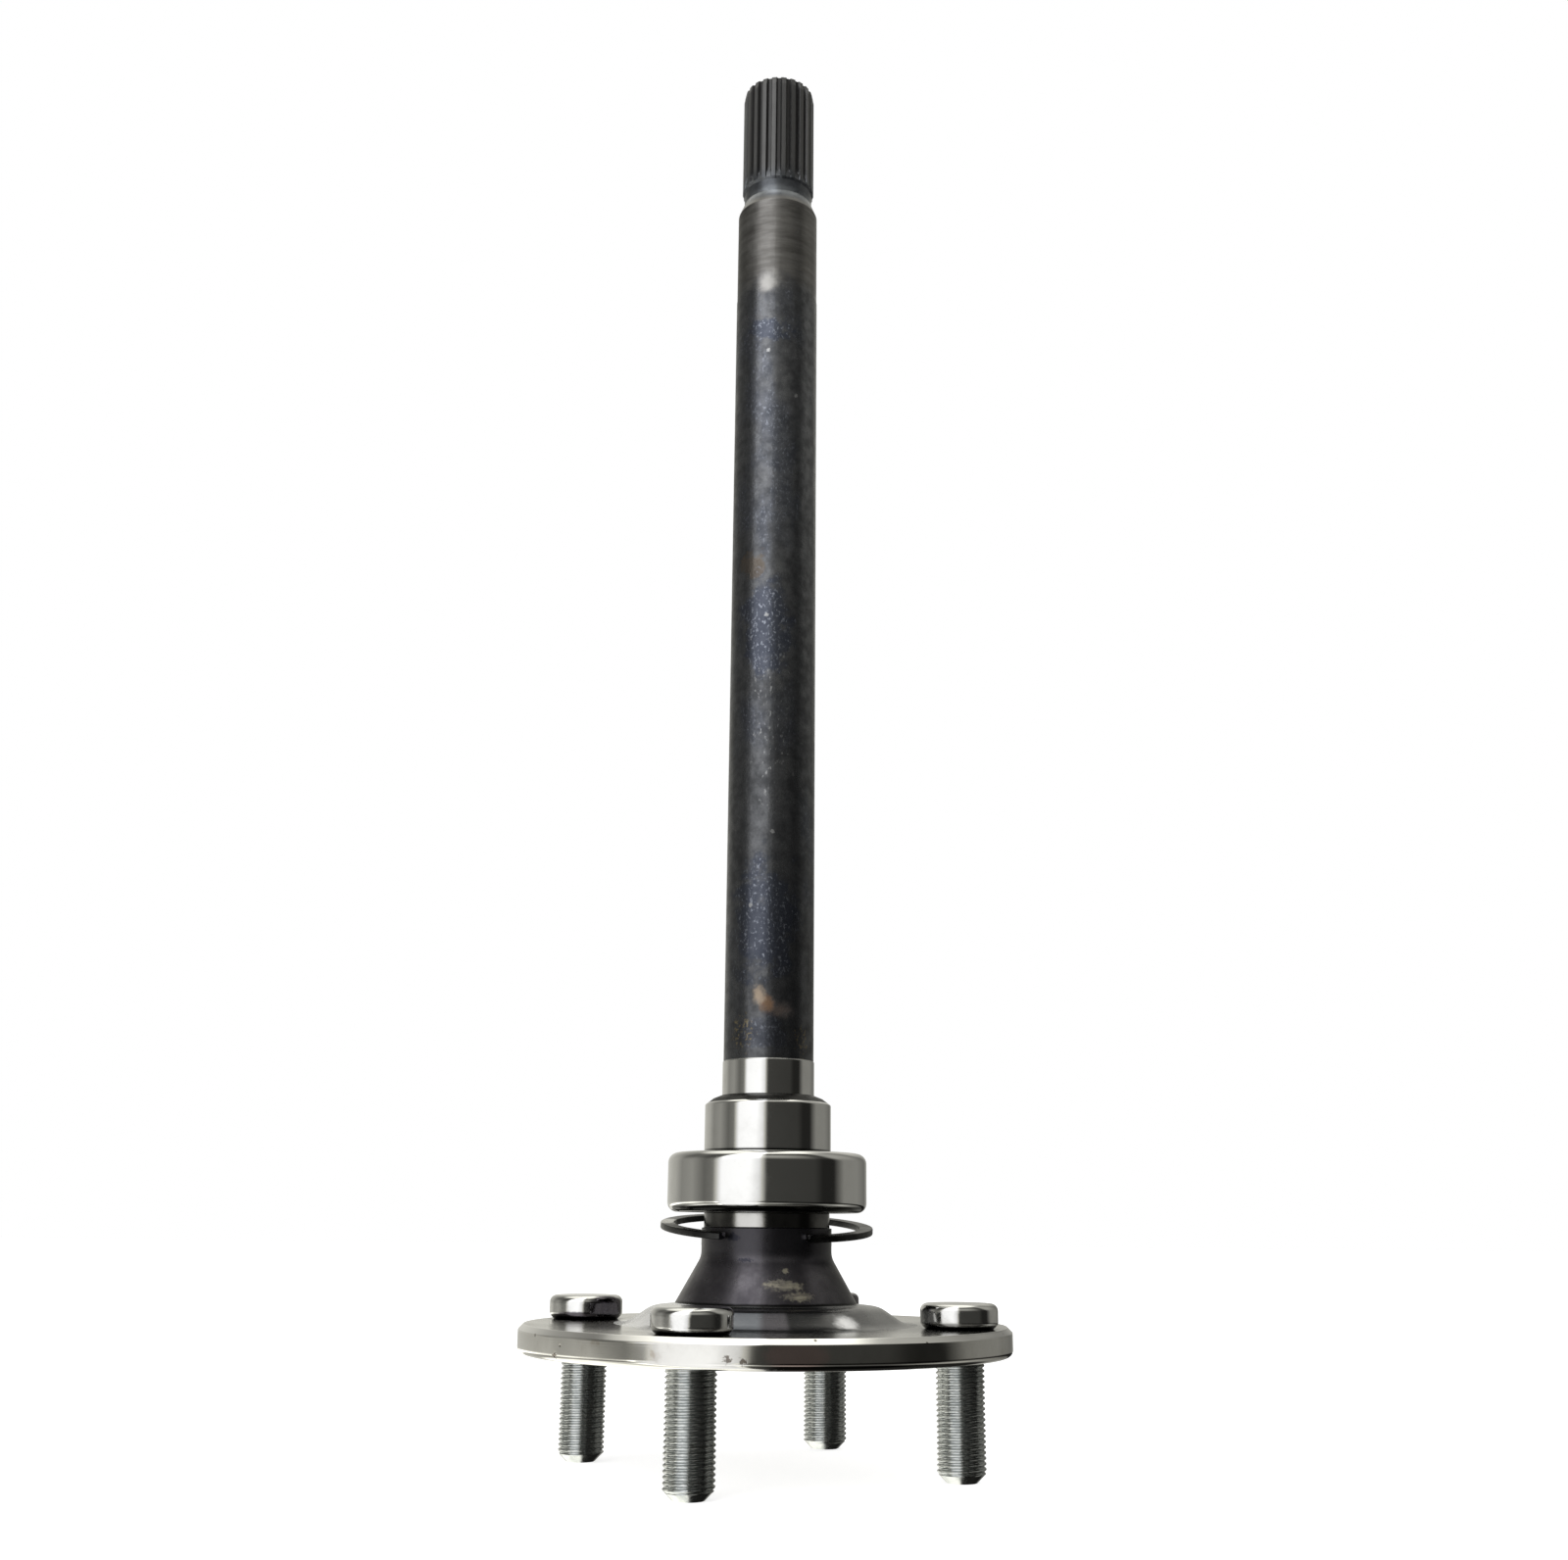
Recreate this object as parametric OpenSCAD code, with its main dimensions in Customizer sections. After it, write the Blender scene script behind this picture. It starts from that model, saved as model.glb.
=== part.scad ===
// Flanged axle half shaft with pressed wheel studs, a sealed ball bearing,
// a retaining collar and a loose snap ring round the neck.
// Millimetres. +Z runs along the shaft towards the splined end, and the origin
// is the centre of the flange's wheel face.

/* [Wheel studs] */
// Number of wheel studs
stud_count = 4; // [3:1:6]
// Diameter of the circle through the stud axes
stud_circle_d = 101.6; // [96:0.2:115]
// Angle of the first stud, seen from the splined end
stud_phase = -19.4; // [-45:0.1:45]
// Outside diameter of the stud thread
stud_d = 12; // [10:0.1:13]
// Diameter of the knurled shank pressed into the flange
stud_knurl_d = 12.6; // [12.2:0.1:14]
// Length of stud that stands out of the wheel face
stud_reach = 28.4; // [20:0.1:40]
// Chamfer on the stud's tip
stud_tip_chamfer = 2.2; // [0.4:0.1:3]
// Diameter of the stud's round head
stud_head_d = 19.3; // [16:0.1:21]
// Height of the stud's head
stud_head_h = 6.1; // [4:0.1:9]
// Rounding on the head's top edge
stud_head_round = 1.8; // [0.4:0.1:3]
// Chamfer under the head
stud_head_chamfer = 1.2; // [0.2:0.1:2]

/* [Flange and boss] */
// Flange beyond the stud circle, measured along the radius
flange_rim = 12.1; // [9:0.1:20]
// Thickness of the flange
flange_t = 7; // [5:0.1:10]
// Chamfer on the flange's shaft-side edge
flange_edge = 1.3; // [0.4:0.1:2.4]
// Rounding on the flange's wheel-side edge
flange_round = 1.6; // [0.4:0.1:2.4]
// Gap between the stud heads and the foot of the boss
boss_clearance = 5.2; // [1:0.1:8]
// Width of the boss's sloping side, measured along the radius
boss_slope_w = 6.7; // [3:0.1:12]
// Height of the boss's sloping side
boss_h = 4.4; // [2:0.1:8]
// Further rise of the boss's crown towards the cone
boss_crown = 0.3; // [0.2:0.1:2]

/* [Neck] */
// Diameter of the cone at its foot
cone_base_d = 47.3; // [42:0.1:52]
// Height of the cone
cone_h = 11.8; // [9:0.1:16]
// Diameter of the forged neck
neck_d = 33.8; // [30:0.1:36]
// Height of the forged neck
neck_h = 7.2; // [6:0.1:12]
// Fillet between the cone and the neck
neck_fillet = 5; // [1:0.5:8]
// Diameter of the machined shoulder under the bearing
shoulder_d = 32.7; // [29:0.1:33.4]
// Height of the machined shoulder
shoulder_h = 3.9; // [2:0.1:5]

/* [Shaft] */
// Diameter of the ground seal journal
journal_d = 24.4; // [23:0.1:25]
// Length of seal journal above the collar
journal_l = 8.9; // [5:0.1:20]
// Diameter of the forged bar
bar_d = 24; // [20:0.1:24.4]
// Length of the forged bar
bar_l = 225.9; // [100:0.1:600]
// Diameter of the turned zone below the spline
turned_d = 23.8; // [20:0.1:24.4]
// Length of the turned zone
turned_l = 29; // [10:0.1:60]
// Length of the taper between the turned zone and the spline neck
taper_l = 4.2; // [1:0.1:8]
// Diameter of the spline neck
spline_neck_d = 20.4; // [18:0.1:21]
// Length of the spline neck
spline_neck_l = 3.8; // [2:0.1:15]
// Outside diameter of the spline
spline_d = 21.6; // [21:0.1:23]
// Length of the spline
spline_l = 35.5; // [20:0.1:60]
// Number of spline teeth
spline_teeth = 22; // [16:1:26]
// Depth of the spline grooves
spline_depth = 1.1; // [0.7:0.05:1.4]
// Width of a spline groove at its floor
spline_floor_w = 0.9; // [0.5:0.05:1.2]
// Slope of the spline flanks
spline_flank = 24; // [15:1:32]
// Length over which the grooves run out above the spline neck
spline_runout = 4.5; // [2:0.1:8]
// Length of the lead-in at the splined end
lead_l = 2.5; // [1:0.1:5]
// Depth of the lead-in at the splined end
lead_w = 0.5; // [0.2:0.05:1]
// Diameter of the centre holes' mouths
centre_d = 6.3; // [4:0.1:8]
// Diameter of the centre holes' pilots
centre_pilot_d = 2.5; // [1.5:0.1:3.5]
// Depth of the centre holes
centre_depth = 6; // [5:0.1:10]

/* [Bearing] */
// Bore of the bearing, its seat and the collar
bearing_bore = 25; // [24.6:0.1:27]
// Outside diameter of the bearing
bearing_d = 52; // [50:0.1:56]
// Width of the bearing
bearing_w = 15; // [13.5:0.1:18]
// Rounding on the bearing's outer corners
bearing_round = 2.5; // [0.6:0.1:3]
// Chamfer in the bearing's bore
bearing_bore_chamfer = 0.8; // [0.3:0.1:1.2]
// Diameter of the balls
ball_d = 7.938; // [7:0.001:8.7]
// Number of balls
ball_count = 9; // [9]
// Depth of the ball grooves
race_depth = 1.45; // [1.1:0.05:1.8]
// Groove radius as a share of the ball diameter
race_conformity = 0.52; // [0.51:0.005:0.54]
// Play between a ball and each groove
race_play = 0.05; // [0.02:0.01:0.1]
// Thickness of the cage sheet
cage_t = 0.6; // [0.4:0.05:0.8]
// Width of the cage, measured along the radius
cage_w = 3.4; // [2.4:0.1:4]
// Play between a ball and its pocket
cage_play = 0.08; // [0.04:0.01:0.15]
// Diameter of the cage rivets
rivet_d = 1.2; // [0.8:0.05:1.6]
// Diameter of the rivet heads
rivet_head_d = 2.2; // [1.8:0.05:2.8]
// Height of the rivet heads
rivet_head_h = 0.5; // [0.3:0.05:0.9]
// Thickness of the seals
seal_t = 1; // [0.6:0.05:1.2]
// Depth of the seals behind the bearing's faces
seal_recess = 0.3; // [0.1:0.05:0.5]
// Depth of the seals' seat in the outer ring
seal_seat = 0.9; // [0.4:0.05:1.2]
// Running gap between the seals and the inner ring
seal_gap = 0.15; // [0.08:0.01:0.3]

/* [Retaining collar] */
// Diameter of the collar
collar_d = 33.3; // [30:0.1:34]
// Height of the collar
collar_h = 14.9; // [10:0.1:20]
// Height of the collar's conical top
collar_cone_h = 0.8; // [0.5:0.1:3]
// Width of the chamfer between the collar's side and its conical top
collar_chamfer_w = 2.15; // [0.6:0.05:2.2]
// Height of that chamfer
collar_chamfer_h = 1.6; // [0.5:0.1:4]
// Length of seal journal hidden inside the collar's top
collar_cover = 0.3; // [0.2:0.1:3]

/* [Snap ring] */
// Outside diameter of the free ring
ring_d = 56.2; // [53:0.1:60]
// Width of the ring, measured along the radius
ring_w = 3.5; // [2.5:0.1:4.5]
// Thickness of the ring
ring_t = 1.65; // [1.2:0.05:2]
// Half of the angle that the ring's gap takes up
ring_gap = 25; // [20:0.1:32]
// Distance of the ring's centre below the bearing
ring_drop = 3.7; // [3:0.1:5]
// Tilt of the ring towards its gap
ring_tilt = 6; // [0:0.1:8]
// Tilt of the ring to its side
ring_lean = 1.35; // [0:0.05:3]
// Play between the ring's ends and the neck they rest on
ring_play = 0.35; // [0.3:0.05:1]

/* [Hidden] */
$fn = 96;

// Overshoot of a cutting shape past the face that it cuts
cut = 1;
// Straight steps in a quarter of a rounded edge
arc_steps = 6;

// Radii
stud_circle_r = stud_circle_d / 2;
stud_r = stud_d / 2;
stud_knurl_r = stud_knurl_d / 2;
stud_head_r = stud_head_d / 2;
flange_r = stud_circle_r + flange_rim;
boss_base_r = stud_circle_r - stud_head_r - boss_clearance;
boss_top_r = boss_base_r - boss_slope_w;
cone_base_r = cone_base_d / 2;
neck_r = neck_d / 2;
shoulder_r = shoulder_d / 2;
seat_r = bearing_bore / 2;
journal_r = journal_d / 2;
bar_r = bar_d / 2;
turned_r = turned_d / 2;
spline_neck_r = spline_neck_d / 2;
spline_r = spline_d / 2;
spline_floor_r = spline_r - spline_depth;
collar_r = collar_d / 2;

// Heights along the shaft, from the wheel face up
boss_z = flange_t + boss_h;
cone_foot_z = boss_z + boss_crown;
neck_z = cone_foot_z + cone_h;
shoulder_z = neck_z + neck_h;
bearing_z = shoulder_z + shoulder_h;
bearing_mid_z = bearing_z + bearing_w / 2;
collar_z = bearing_z + bearing_w;
collar_top_z = collar_z + collar_h;
bar_z = collar_top_z + journal_l;
turned_z = bar_z + bar_l;
taper_z = turned_z + turned_l;
spline_neck_z = taper_z + taper_l;
spline_z = spline_neck_z + spline_neck_l;
tip_z = spline_z + spline_l;

// Bearing
ball_r = ball_d / 2;
pitch_r = (bearing_d + bearing_bore) / 4;
race_r = ball_d * race_conformity;
inner_floor_r = pitch_r - ball_r - race_play;
outer_floor_r = pitch_r + ball_r + race_play;
inner_land_r = inner_floor_r + race_depth;
outer_land_r = outer_floor_r - race_depth;
pocket_r = ball_r + cage_play;
seal_inner_r = inner_land_r + seal_gap;
seal_outer_r = outer_land_r + seal_seat;
seal_depth = seal_recess + seal_t;
ball_step = 360 / ball_count;

// Snap ring: its ends rest on the neck, so its centre lies behind the shaft's axis
ring_inner_r = ring_d / 2 - ring_w;
ring_end_x = ring_inner_r * sin(ring_gap);
ring_end_y = ring_inner_r * cos(ring_gap) * cos(ring_tilt);
ring_offset = ring_end_y - sqrt(pow(neck_r + ring_play, 2) - pow(ring_end_x, 2));
ring_z = bearing_z - ring_drop;

// Points along an arc
function arc(x, z, r, from, to) = [
    for (i = [0:arc_steps])
        let (a = from + (to - from) * i / arc_steps) [x + r * cos(a), z + r * sin(a)]
];

// Fillet between the cone and the neck
cone_angle = atan((cone_base_r - neck_r) / cone_h);
neck_fillet_z = neck_z + neck_fillet * tan(cone_angle / 2);
neck_fillet_arc = arc(neck_r + neck_fillet, neck_fillet_z, neck_fillet, 180 + cone_angle, 180);

// Half section of the whole shaft
flange_rim_section = concat(
    [[0, 0]],
    arc(flange_r - flange_round, flange_round, flange_round, -90, 0),
    [[flange_r, flange_t - flange_edge], [flange_r - flange_edge, flange_t]]
);
boss_and_neck = concat(
    [[boss_base_r, flange_t], [boss_top_r, boss_z], [cone_base_r, cone_foot_z]],
    neck_fillet_arc,
    [[neck_r, shoulder_z], [shoulder_r, shoulder_z], [shoulder_r, bearing_z]]
);
seats_and_bar = [
    [seat_r, bearing_z], [seat_r, collar_top_z - collar_cover],
    [journal_r, collar_top_z - collar_cover + seat_r - journal_r],
    [journal_r, bar_z], [bar_r, bar_z], [bar_r, turned_z]
];
splined_end = [
    [turned_r, turned_z], [turned_r, taper_z], [spline_neck_r, spline_neck_z],
    [spline_neck_r, spline_z], [spline_r, spline_z + spline_r - spline_neck_r],
    [spline_r, tip_z - lead_l], [spline_r - lead_w, tip_z], [0, tip_z]
];
shaft_section = concat(flange_rim_section, boss_and_neck, seats_and_bar, splined_end);

// One groove of the spline, cut along +Y, with a floor that climbs out at its lower end
module spline_groove() {
    top_r = spline_r + cut;
    top_w = spline_floor_w + 2 * (top_r - spline_floor_r) * tan(spline_flank);
    climb = spline_runout / spline_depth;
    intersection() {
        translate([0, 0, spline_z - cut * climb])
            linear_extrude(height = spline_l + cut * climb + cut)
                polygon([
                    [-spline_floor_w / 2, spline_floor_r], [spline_floor_w / 2, spline_floor_r],
                    [top_w / 2, top_r], [-top_w / 2, top_r]
                ]);
        rotate([90, 0, 90])
            linear_extrude(height = top_w + cut, center = true)
                polygon([
                    [spline_floor_r, tip_z + cut], [spline_floor_r, spline_z + spline_runout],
                    [top_r, spline_z - cut * climb], [top_r, tip_z + cut]
                ]);
    }
}

// Centre hole with its mouth at the origin, cut along +Z
module centre_hole() {
    cone_depth = (centre_d - centre_pilot_d) / 2 / tan(30);
    cylinder(h = cone_depth, d1 = centre_d, d2 = centre_pilot_d);
    cylinder(h = centre_depth, d = centre_pilot_d);
}

module at_studs() {
    for (i = [0:stud_count - 1])
        rotate(stud_phase + i * 360 / stud_count)
            translate([stud_circle_r, 0, 0])
                children();
}

module axle_shaft() {
    color("dimgray")
        difference() {
            rotate_extrude()
                polygon(shaft_section);
            at_studs()
                translate([0, 0, -cut])
                    cylinder(h = flange_t + 2 * cut, r = stud_knurl_r);
            for (i = [0:spline_teeth - 1])
                rotate(i * 360 / spline_teeth)
                    spline_groove();
            centre_hole();
            translate([0, 0, tip_z])
                mirror([0, 0, 1])
                    centre_hole();
        }
}

module wheel_studs() {
    head_top_z = flange_t + stud_head_h;
    section = concat(
        [
            [0, -stud_reach], [stud_r - stud_tip_chamfer, -stud_reach],
            [stud_r, -stud_reach + stud_tip_chamfer], [stud_r, 0], [stud_knurl_r, 0],
            [stud_knurl_r, flange_t], [stud_head_r - stud_head_chamfer, flange_t],
            [stud_head_r, flange_t + stud_head_chamfer]
        ],
        arc(stud_head_r - stud_head_round, head_top_z - stud_head_round, stud_head_round, 0, 90),
        [[0, head_top_z]]
    );
    color("lightsteelblue")
        at_studs()
            rotate_extrude()
                polygon(section);
}

module bearing_inner_ring() {
    c = bearing_bore_chamfer;
    color("silver")
        translate([0, 0, bearing_z])
            rotate_extrude()
                difference() {
                    polygon([
                        [seat_r + c, 0], [inner_land_r, 0], [inner_land_r, bearing_w],
                        [seat_r + c, bearing_w], [seat_r, bearing_w - c], [seat_r, c]
                    ]);
                    translate([inner_floor_r + race_r, bearing_w / 2])
                        circle(race_r);
                }
}

module bearing_outer_ring() {
    r = bearing_d / 2;
    // The rounding is limited by the wall behind the ball groove
    e = min(bearing_round, r - outer_floor_r);
    color("silver")
        translate([0, 0, bearing_z])
            rotate_extrude()
                difference() {
                    polygon(concat(
                        [[seal_outer_r, 0]],
                        arc(r - e, e, e, -90, 0),
                        arc(r - e, bearing_w - e, e, 0, 90),
                        [
                            [seal_outer_r, bearing_w], [seal_outer_r, bearing_w - seal_depth],
                            [outer_land_r, bearing_w - seal_depth], [outer_land_r, seal_depth],
                            [seal_outer_r, seal_depth]
                        ]
                    ));
                    translate([outer_floor_r - race_r, bearing_w / 2])
                        circle(race_r);
                }
}

module at_ball(index) {
    rotate(index * ball_step)
        translate([pitch_r, 0, bearing_mid_z])
            children();
}

module bearing_ball(index) {
    color("gainsboro")
        at_ball(index)
            sphere(ball_r);
}

module cage_band(height) {
    rotate_extrude()
        translate([pitch_r - cage_w / 2, 0])
            square([cage_w, height]);
}

module at_pockets() {
    for (i = [0:ball_count - 1])
        rotate(i * ball_step)
            translate([pitch_r, 0, 0])
                children();
}

module at_rivets() {
    for (i = [0:ball_count - 1])
        rotate((i + 0.5) * ball_step)
            translate([pitch_r, 0, 0])
                children();
}

// Upper half of the cage, with the bearing's middle plane at Z = 0
module cage_half() {
    difference() {
        intersection() {
            cage_band(pocket_r + cage_t + cut);
            union() {
                translate([0, 0, -cut])
                    cylinder(h = cage_t + cut, r = pitch_r + cage_w);
                at_pockets()
                    sphere(pocket_r + cage_t);
            }
        }
        at_pockets()
            sphere(pocket_r);
        at_rivets()
            translate([0, 0, -cut])
                cylinder(h = cage_t + 2 * cut, d = rivet_d);
    }
}

module cage_half_upper() {
    color("darkgoldenrod")
        translate([0, 0, bearing_mid_z])
            cage_half();
}

module cage_half_lower() {
    color("darkgoldenrod")
        translate([0, 0, bearing_mid_z])
            mirror([0, 0, 1])
                cage_half();
}

module cage_rivets() {
    color("gray")
        translate([0, 0, bearing_mid_z])
            at_rivets() {
                cylinder(h = 2 * cage_t, d = rivet_d, center = true);
                for (side = [0, 1])
                    mirror([0, 0, side])
                        translate([0, 0, cage_t])
                            cylinder(h = rivet_head_h, d = rivet_head_d);
            }
}

module bearing_seal() {
    rotate_extrude()
        translate([seal_inner_r, 0])
            square([seal_outer_r - seal_inner_r, seal_t]);
}

module bearing_seal_lower() {
    color("black")
        translate([0, 0, bearing_z + seal_recess])
            bearing_seal();
}

module bearing_seal_upper() {
    color("black")
        translate([0, 0, bearing_z + bearing_w - seal_depth])
            bearing_seal();
}

module retaining_collar() {
    rim_r = collar_r - collar_chamfer_w;
    rim_z = collar_top_z - collar_cone_h;
    color("silver")
        rotate_extrude()
            polygon([
                [seat_r, collar_z], [collar_r, collar_z], [collar_r, rim_z - collar_chamfer_h],
                [rim_r, rim_z], [seat_r, collar_top_z]
            ]);
}

module snap_ring() {
    color("black")
        translate([0, ring_offset, ring_z])
            rotate([ring_tilt, ring_lean, 0])
                rotate_extrude(angle = 360 - 2 * ring_gap, start = ring_gap - 90)
                    translate([ring_inner_r, -ring_t / 2])
                        square([ring_w, ring_t]);
}

axle_shaft();
wheel_studs();
bearing_inner_ring();
bearing_outer_ring();
bearing_ball(0);  // ball_1
bearing_ball(1);  // ball_2
bearing_ball(2);  // ball_3
bearing_ball(3);  // ball_4
bearing_ball(4);  // ball_5
bearing_ball(5);  // ball_6
bearing_ball(6);  // ball_7
bearing_ball(7);  // ball_8
bearing_ball(8);  // ball_9
cage_half_lower();
cage_half_upper();
cage_rivets();
bearing_seal_lower();
bearing_seal_upper();
retaining_collar();
snap_ring();
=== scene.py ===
import math

import bmesh
import bpy
from mathutils import Euler, Matrix, Vector


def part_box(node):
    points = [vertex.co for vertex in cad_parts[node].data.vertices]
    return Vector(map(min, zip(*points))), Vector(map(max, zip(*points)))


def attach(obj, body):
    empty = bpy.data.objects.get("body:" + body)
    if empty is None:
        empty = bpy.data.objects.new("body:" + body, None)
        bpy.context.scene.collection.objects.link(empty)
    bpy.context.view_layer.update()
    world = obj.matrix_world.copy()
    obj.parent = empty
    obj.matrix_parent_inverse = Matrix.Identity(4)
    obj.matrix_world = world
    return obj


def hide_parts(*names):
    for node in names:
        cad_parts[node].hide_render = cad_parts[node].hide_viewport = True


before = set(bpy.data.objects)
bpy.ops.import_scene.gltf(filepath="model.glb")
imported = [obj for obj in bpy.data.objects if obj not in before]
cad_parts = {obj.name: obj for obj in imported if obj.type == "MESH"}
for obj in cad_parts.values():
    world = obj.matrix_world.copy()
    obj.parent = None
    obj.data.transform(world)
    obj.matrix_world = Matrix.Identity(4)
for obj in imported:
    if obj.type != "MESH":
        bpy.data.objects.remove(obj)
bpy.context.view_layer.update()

# Sizes are in millimetres, and meshes are written in metres
MM = 0.001


def span(node):
    """Outer radius, lowest and highest point of a turned CAD node, in millimetres."""
    low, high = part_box(node)
    return high.x / MM, low.z / MM, high.z / MM


# Sizes that the frame gives
flange_r, wheel_face_z, tip_z = span("axle_shaft")
bearing_r, bearing_z, bearing_top_z = span("bearing_outer_ring")
collar_r, collar_z, collar_top_z = span("retaining_collar")
seal_r, seal_z, seal_top_z = span("bearing_seal_lower")
upper_seal_z = span("bearing_seal_upper")[1]
stud_tip_z, stud_head_z = span("wheel_studs")[1:]

# Wheel studs
stud_count = 4
stud_circle_r = 50.8
stud_phase = -19.4
stud_r = 6.0
stud_shank_r = 6.3
stud_tip_chamfer = 2.2
stud_head_r = 9.65
stud_head_round = 1.8
stud_head_chamfer = 1.2
thread_pitch = 1.25
thread_depth = 0.5
thread_fade = 1.4
thread_crest = 0.2
thread_root = 0.85
hole_past = 2.0
thread_row = thread_pitch / 12

# Flange, boss and neck
flange_t = 7.0
flange_edge = 1.3
flange_round = 1.6
boss_base_r = 35.95
boss_top_r = 29.25
boss_z = flange_t + 4.4
boss_blend = 6.0
cone_base_r = 23.65
cone_foot_z = boss_z + 0.3
neck_r = 16.9
neck_z = cone_foot_z + 11.8
neck_fillet = 5.0
cone_foot_round = 0.8
shoulder_r = 16.35
shoulder_z = neck_z + 7.2
seat_r = 12.5

# Shaft and spline
journal_r = 12.2
journal_z = collar_top_z - 0.3
bar_r = 12.0
bar_z = collar_top_z + 8.9
turned_r = 11.9
turned_z = bar_z + 225.9
taper_z = turned_z + 29.0
spline_neck_r = 10.2
spline_neck_z = taper_z + 4.2
spline_z = spline_neck_z + 3.8
spline_r = 10.8
spline_floor_r = 9.7
spline_floor_w = 0.9
spline_flank = math.radians(24)
spline_teeth = 22
spline_pitch = 2 * math.pi / spline_teeth
spline_sunk = spline_floor_r * math.tan(spline_flank) - spline_floor_w / 2
spline_runout = 4.5
runout_row = 0.5
taper_round = 1.0
tip_round = 0.3
tip_land = 0.4
lead_l = 2.5
lead_w = 0.5
centre_r = 3.15
centre_pilot_r = 1.25
centre_depth = 6.0
centre_cone = (centre_r - centre_pilot_r) / math.tan(math.radians(30))
turning_pitch = 0.9
turning_depth = 0.008

# Bearing and collar
bearing_round = 2.5
outer_land_r = 21.82
race_mid_z = (bearing_z + bearing_top_z) / 2
race_r = 4.13
race_half_w = 3.2
race_row = 0.4
# Height of the painted shade along the foot of the bearing's outer ring
ring_shade_h = 1.5
seal_inner_r = 16.83
seal_groove = 0.25
seal_inner_land = 1.6
seal_outer_land = 1.4
collar_cone_h = 0.8
collar_chamfer_w = 2.15
collar_chamfer_h = 1.6
collar_foot_round = 0.4
collar_round = 0.5
# Height of the painted shadow line at the collar's foot
collar_shade_h = 0.8
# Share of the collar's chamfer that is dark like its top
collar_dark_share = 0.7

# Snap ring
ring_inner_r = 24.6
ring_w = 3.5
ring_t = 1.65
ring_gap = 25.0
ring_tilt = 6.0
ring_lean = 1.35
ring_rest_r = neck_r + 0.35
ring_z = bearing_z - 3.7
ring_edge = 0.3

# Fineness of the meshes
SEGMENTS = 192
STUD_SEGMENTS = 48
ARC_STEP = 9.0
FILLET_SHARE = 0.8
SUPPORT = 0.3
EDGE = 0.2
SHARP_ANGLE = math.radians(32)


def fillet(before, corner, after, rounding):
    """Points of the rounded corner between two straight edges of a half section."""
    corner = Vector(corner)
    to_before = Vector(before) - corner
    to_after = Vector(after) - corner
    angle = to_before.angle(to_after)
    if rounding == 0 or math.pi - angle < 0.01:
        return [corner]
    room = FILLET_SHARE * min(to_before.length, to_after.length)
    reach = min(rounding / math.tan(angle / 2), room)
    radius = reach * math.tan(angle / 2)
    middle = (to_before.normalized() + to_after.normalized()).normalized()
    centre = corner + middle * radius / math.sin(angle / 2)
    start = corner + to_before.normalized() * reach - centre
    end = corner + to_after.normalized() * reach - centre
    first = math.atan2(start.y, start.x)
    turn = math.atan2(end.y, end.x) - first
    turn = (turn + math.pi) % (2 * math.pi) - math.pi
    steps = max(2, math.ceil(math.degrees(abs(turn)) / ARC_STEP))
    return [
        centre + radius * Vector((math.cos(first + turn * i / steps), math.sin(first + turn * i / steps)))
        for i in range(steps + 1)
    ]


def half_section(corners, closed):
    """Points (r, z) of a half section with rounded corners, and the zone of each band after a point.

    A corner is (r, z, rounding, zone of the edge that starts there)."""
    points = []
    zones = []
    count = len(corners)
    for index, (r, z, rounding, zone) in enumerate(corners):
        at_end = not closed and index in (0, count - 1)
        before = corners[index - 1]
        after = corners[(index + 1) % count]
        arc = [Vector((r, z))] if at_end else fillet(before[:2], (r, z), after[:2], rounding)
        points += arc
        zones += [before[3]] * (len(arc) - 1) + [zone]
    return with_supports(points, zones, closed)


def with_supports(points, zones, closed):
    """Adds a ring close to each end of a long band, so that its smooth shading stays straight."""
    held = []
    held_zones = []
    last = len(points) if closed else len(points) - 1
    for index in range(last):
        start = points[index]
        step = points[(index + 1) % len(points)] - start
        held.append(start)
        held_zones.append(zones[index])
        if step.length > 4 * SUPPORT:
            held += [start + step.normalized() * SUPPORT, start + step - step.normalized() * SUPPORT]
            held_zones += [zones[index]] * 2
    if not closed:
        held.append(points[-1])
    return held, held_zones


def zoned(zone, *corners):
    """Corners of a half section whose edges all lie in one zone. A corner is (r, z, rounding)."""
    return [(*corner, zone) for corner in corners]


def even_angles(count):
    """Angles of a full turn in equal steps."""
    return [2 * math.pi * i / count for i in range(count)]


def spin(name, corners, finishes, closed=False, angles=None, full_turn=True, reach=None):
    """A turned piece: a half section with rounded corners, spun round the Z axis.

    reach(angle, r, z) gives the radius where the piece isn't round, as on a spline or a thread."""
    points, zones = half_section(corners, closed)
    angles = angles or even_angles(SEGMENTS)
    finish_order = list(finishes)
    mesh = bmesh.new()
    rings = []
    for r, z in points:
        if r == 0:
            rings.append([mesh.verts.new((0, 0, z * MM))] * len(angles))
            continue
        ring = []
        for angle in angles:
            far = reach(angle, r, z) if reach else r
            ring.append(mesh.verts.new((far * math.cos(angle) * MM, far * math.sin(angle) * MM, z * MM)))
        rings.append(ring)
    bands = len(rings) if closed else len(rings) - 1
    columns = len(angles) if full_turn else len(angles) - 1
    for band in range(bands):
        lower = rings[band]
        upper = rings[(band + 1) % len(rings)]
        for column in range(columns):
            beside = (column + 1) % len(angles)
            around = [lower[column], lower[beside], upper[beside], upper[column]]
            face = mesh.faces.new(list(dict.fromkeys(around)))
            face.material_index = finish_order.index(zones[band])
    if not full_turn:
        for column in (0, len(angles) - 1):
            mesh.faces.new([ring[column] for ring in rings])
    bmesh.ops.recalc_face_normals(mesh, faces=mesh.faces)
    data = bpy.data.meshes.new(name)
    mesh.to_mesh(data)
    mesh.free()
    for finish in finishes.values():
        data.materials.append(finish)
    piece = put(name, data)
    smooth(piece)
    return piece


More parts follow.
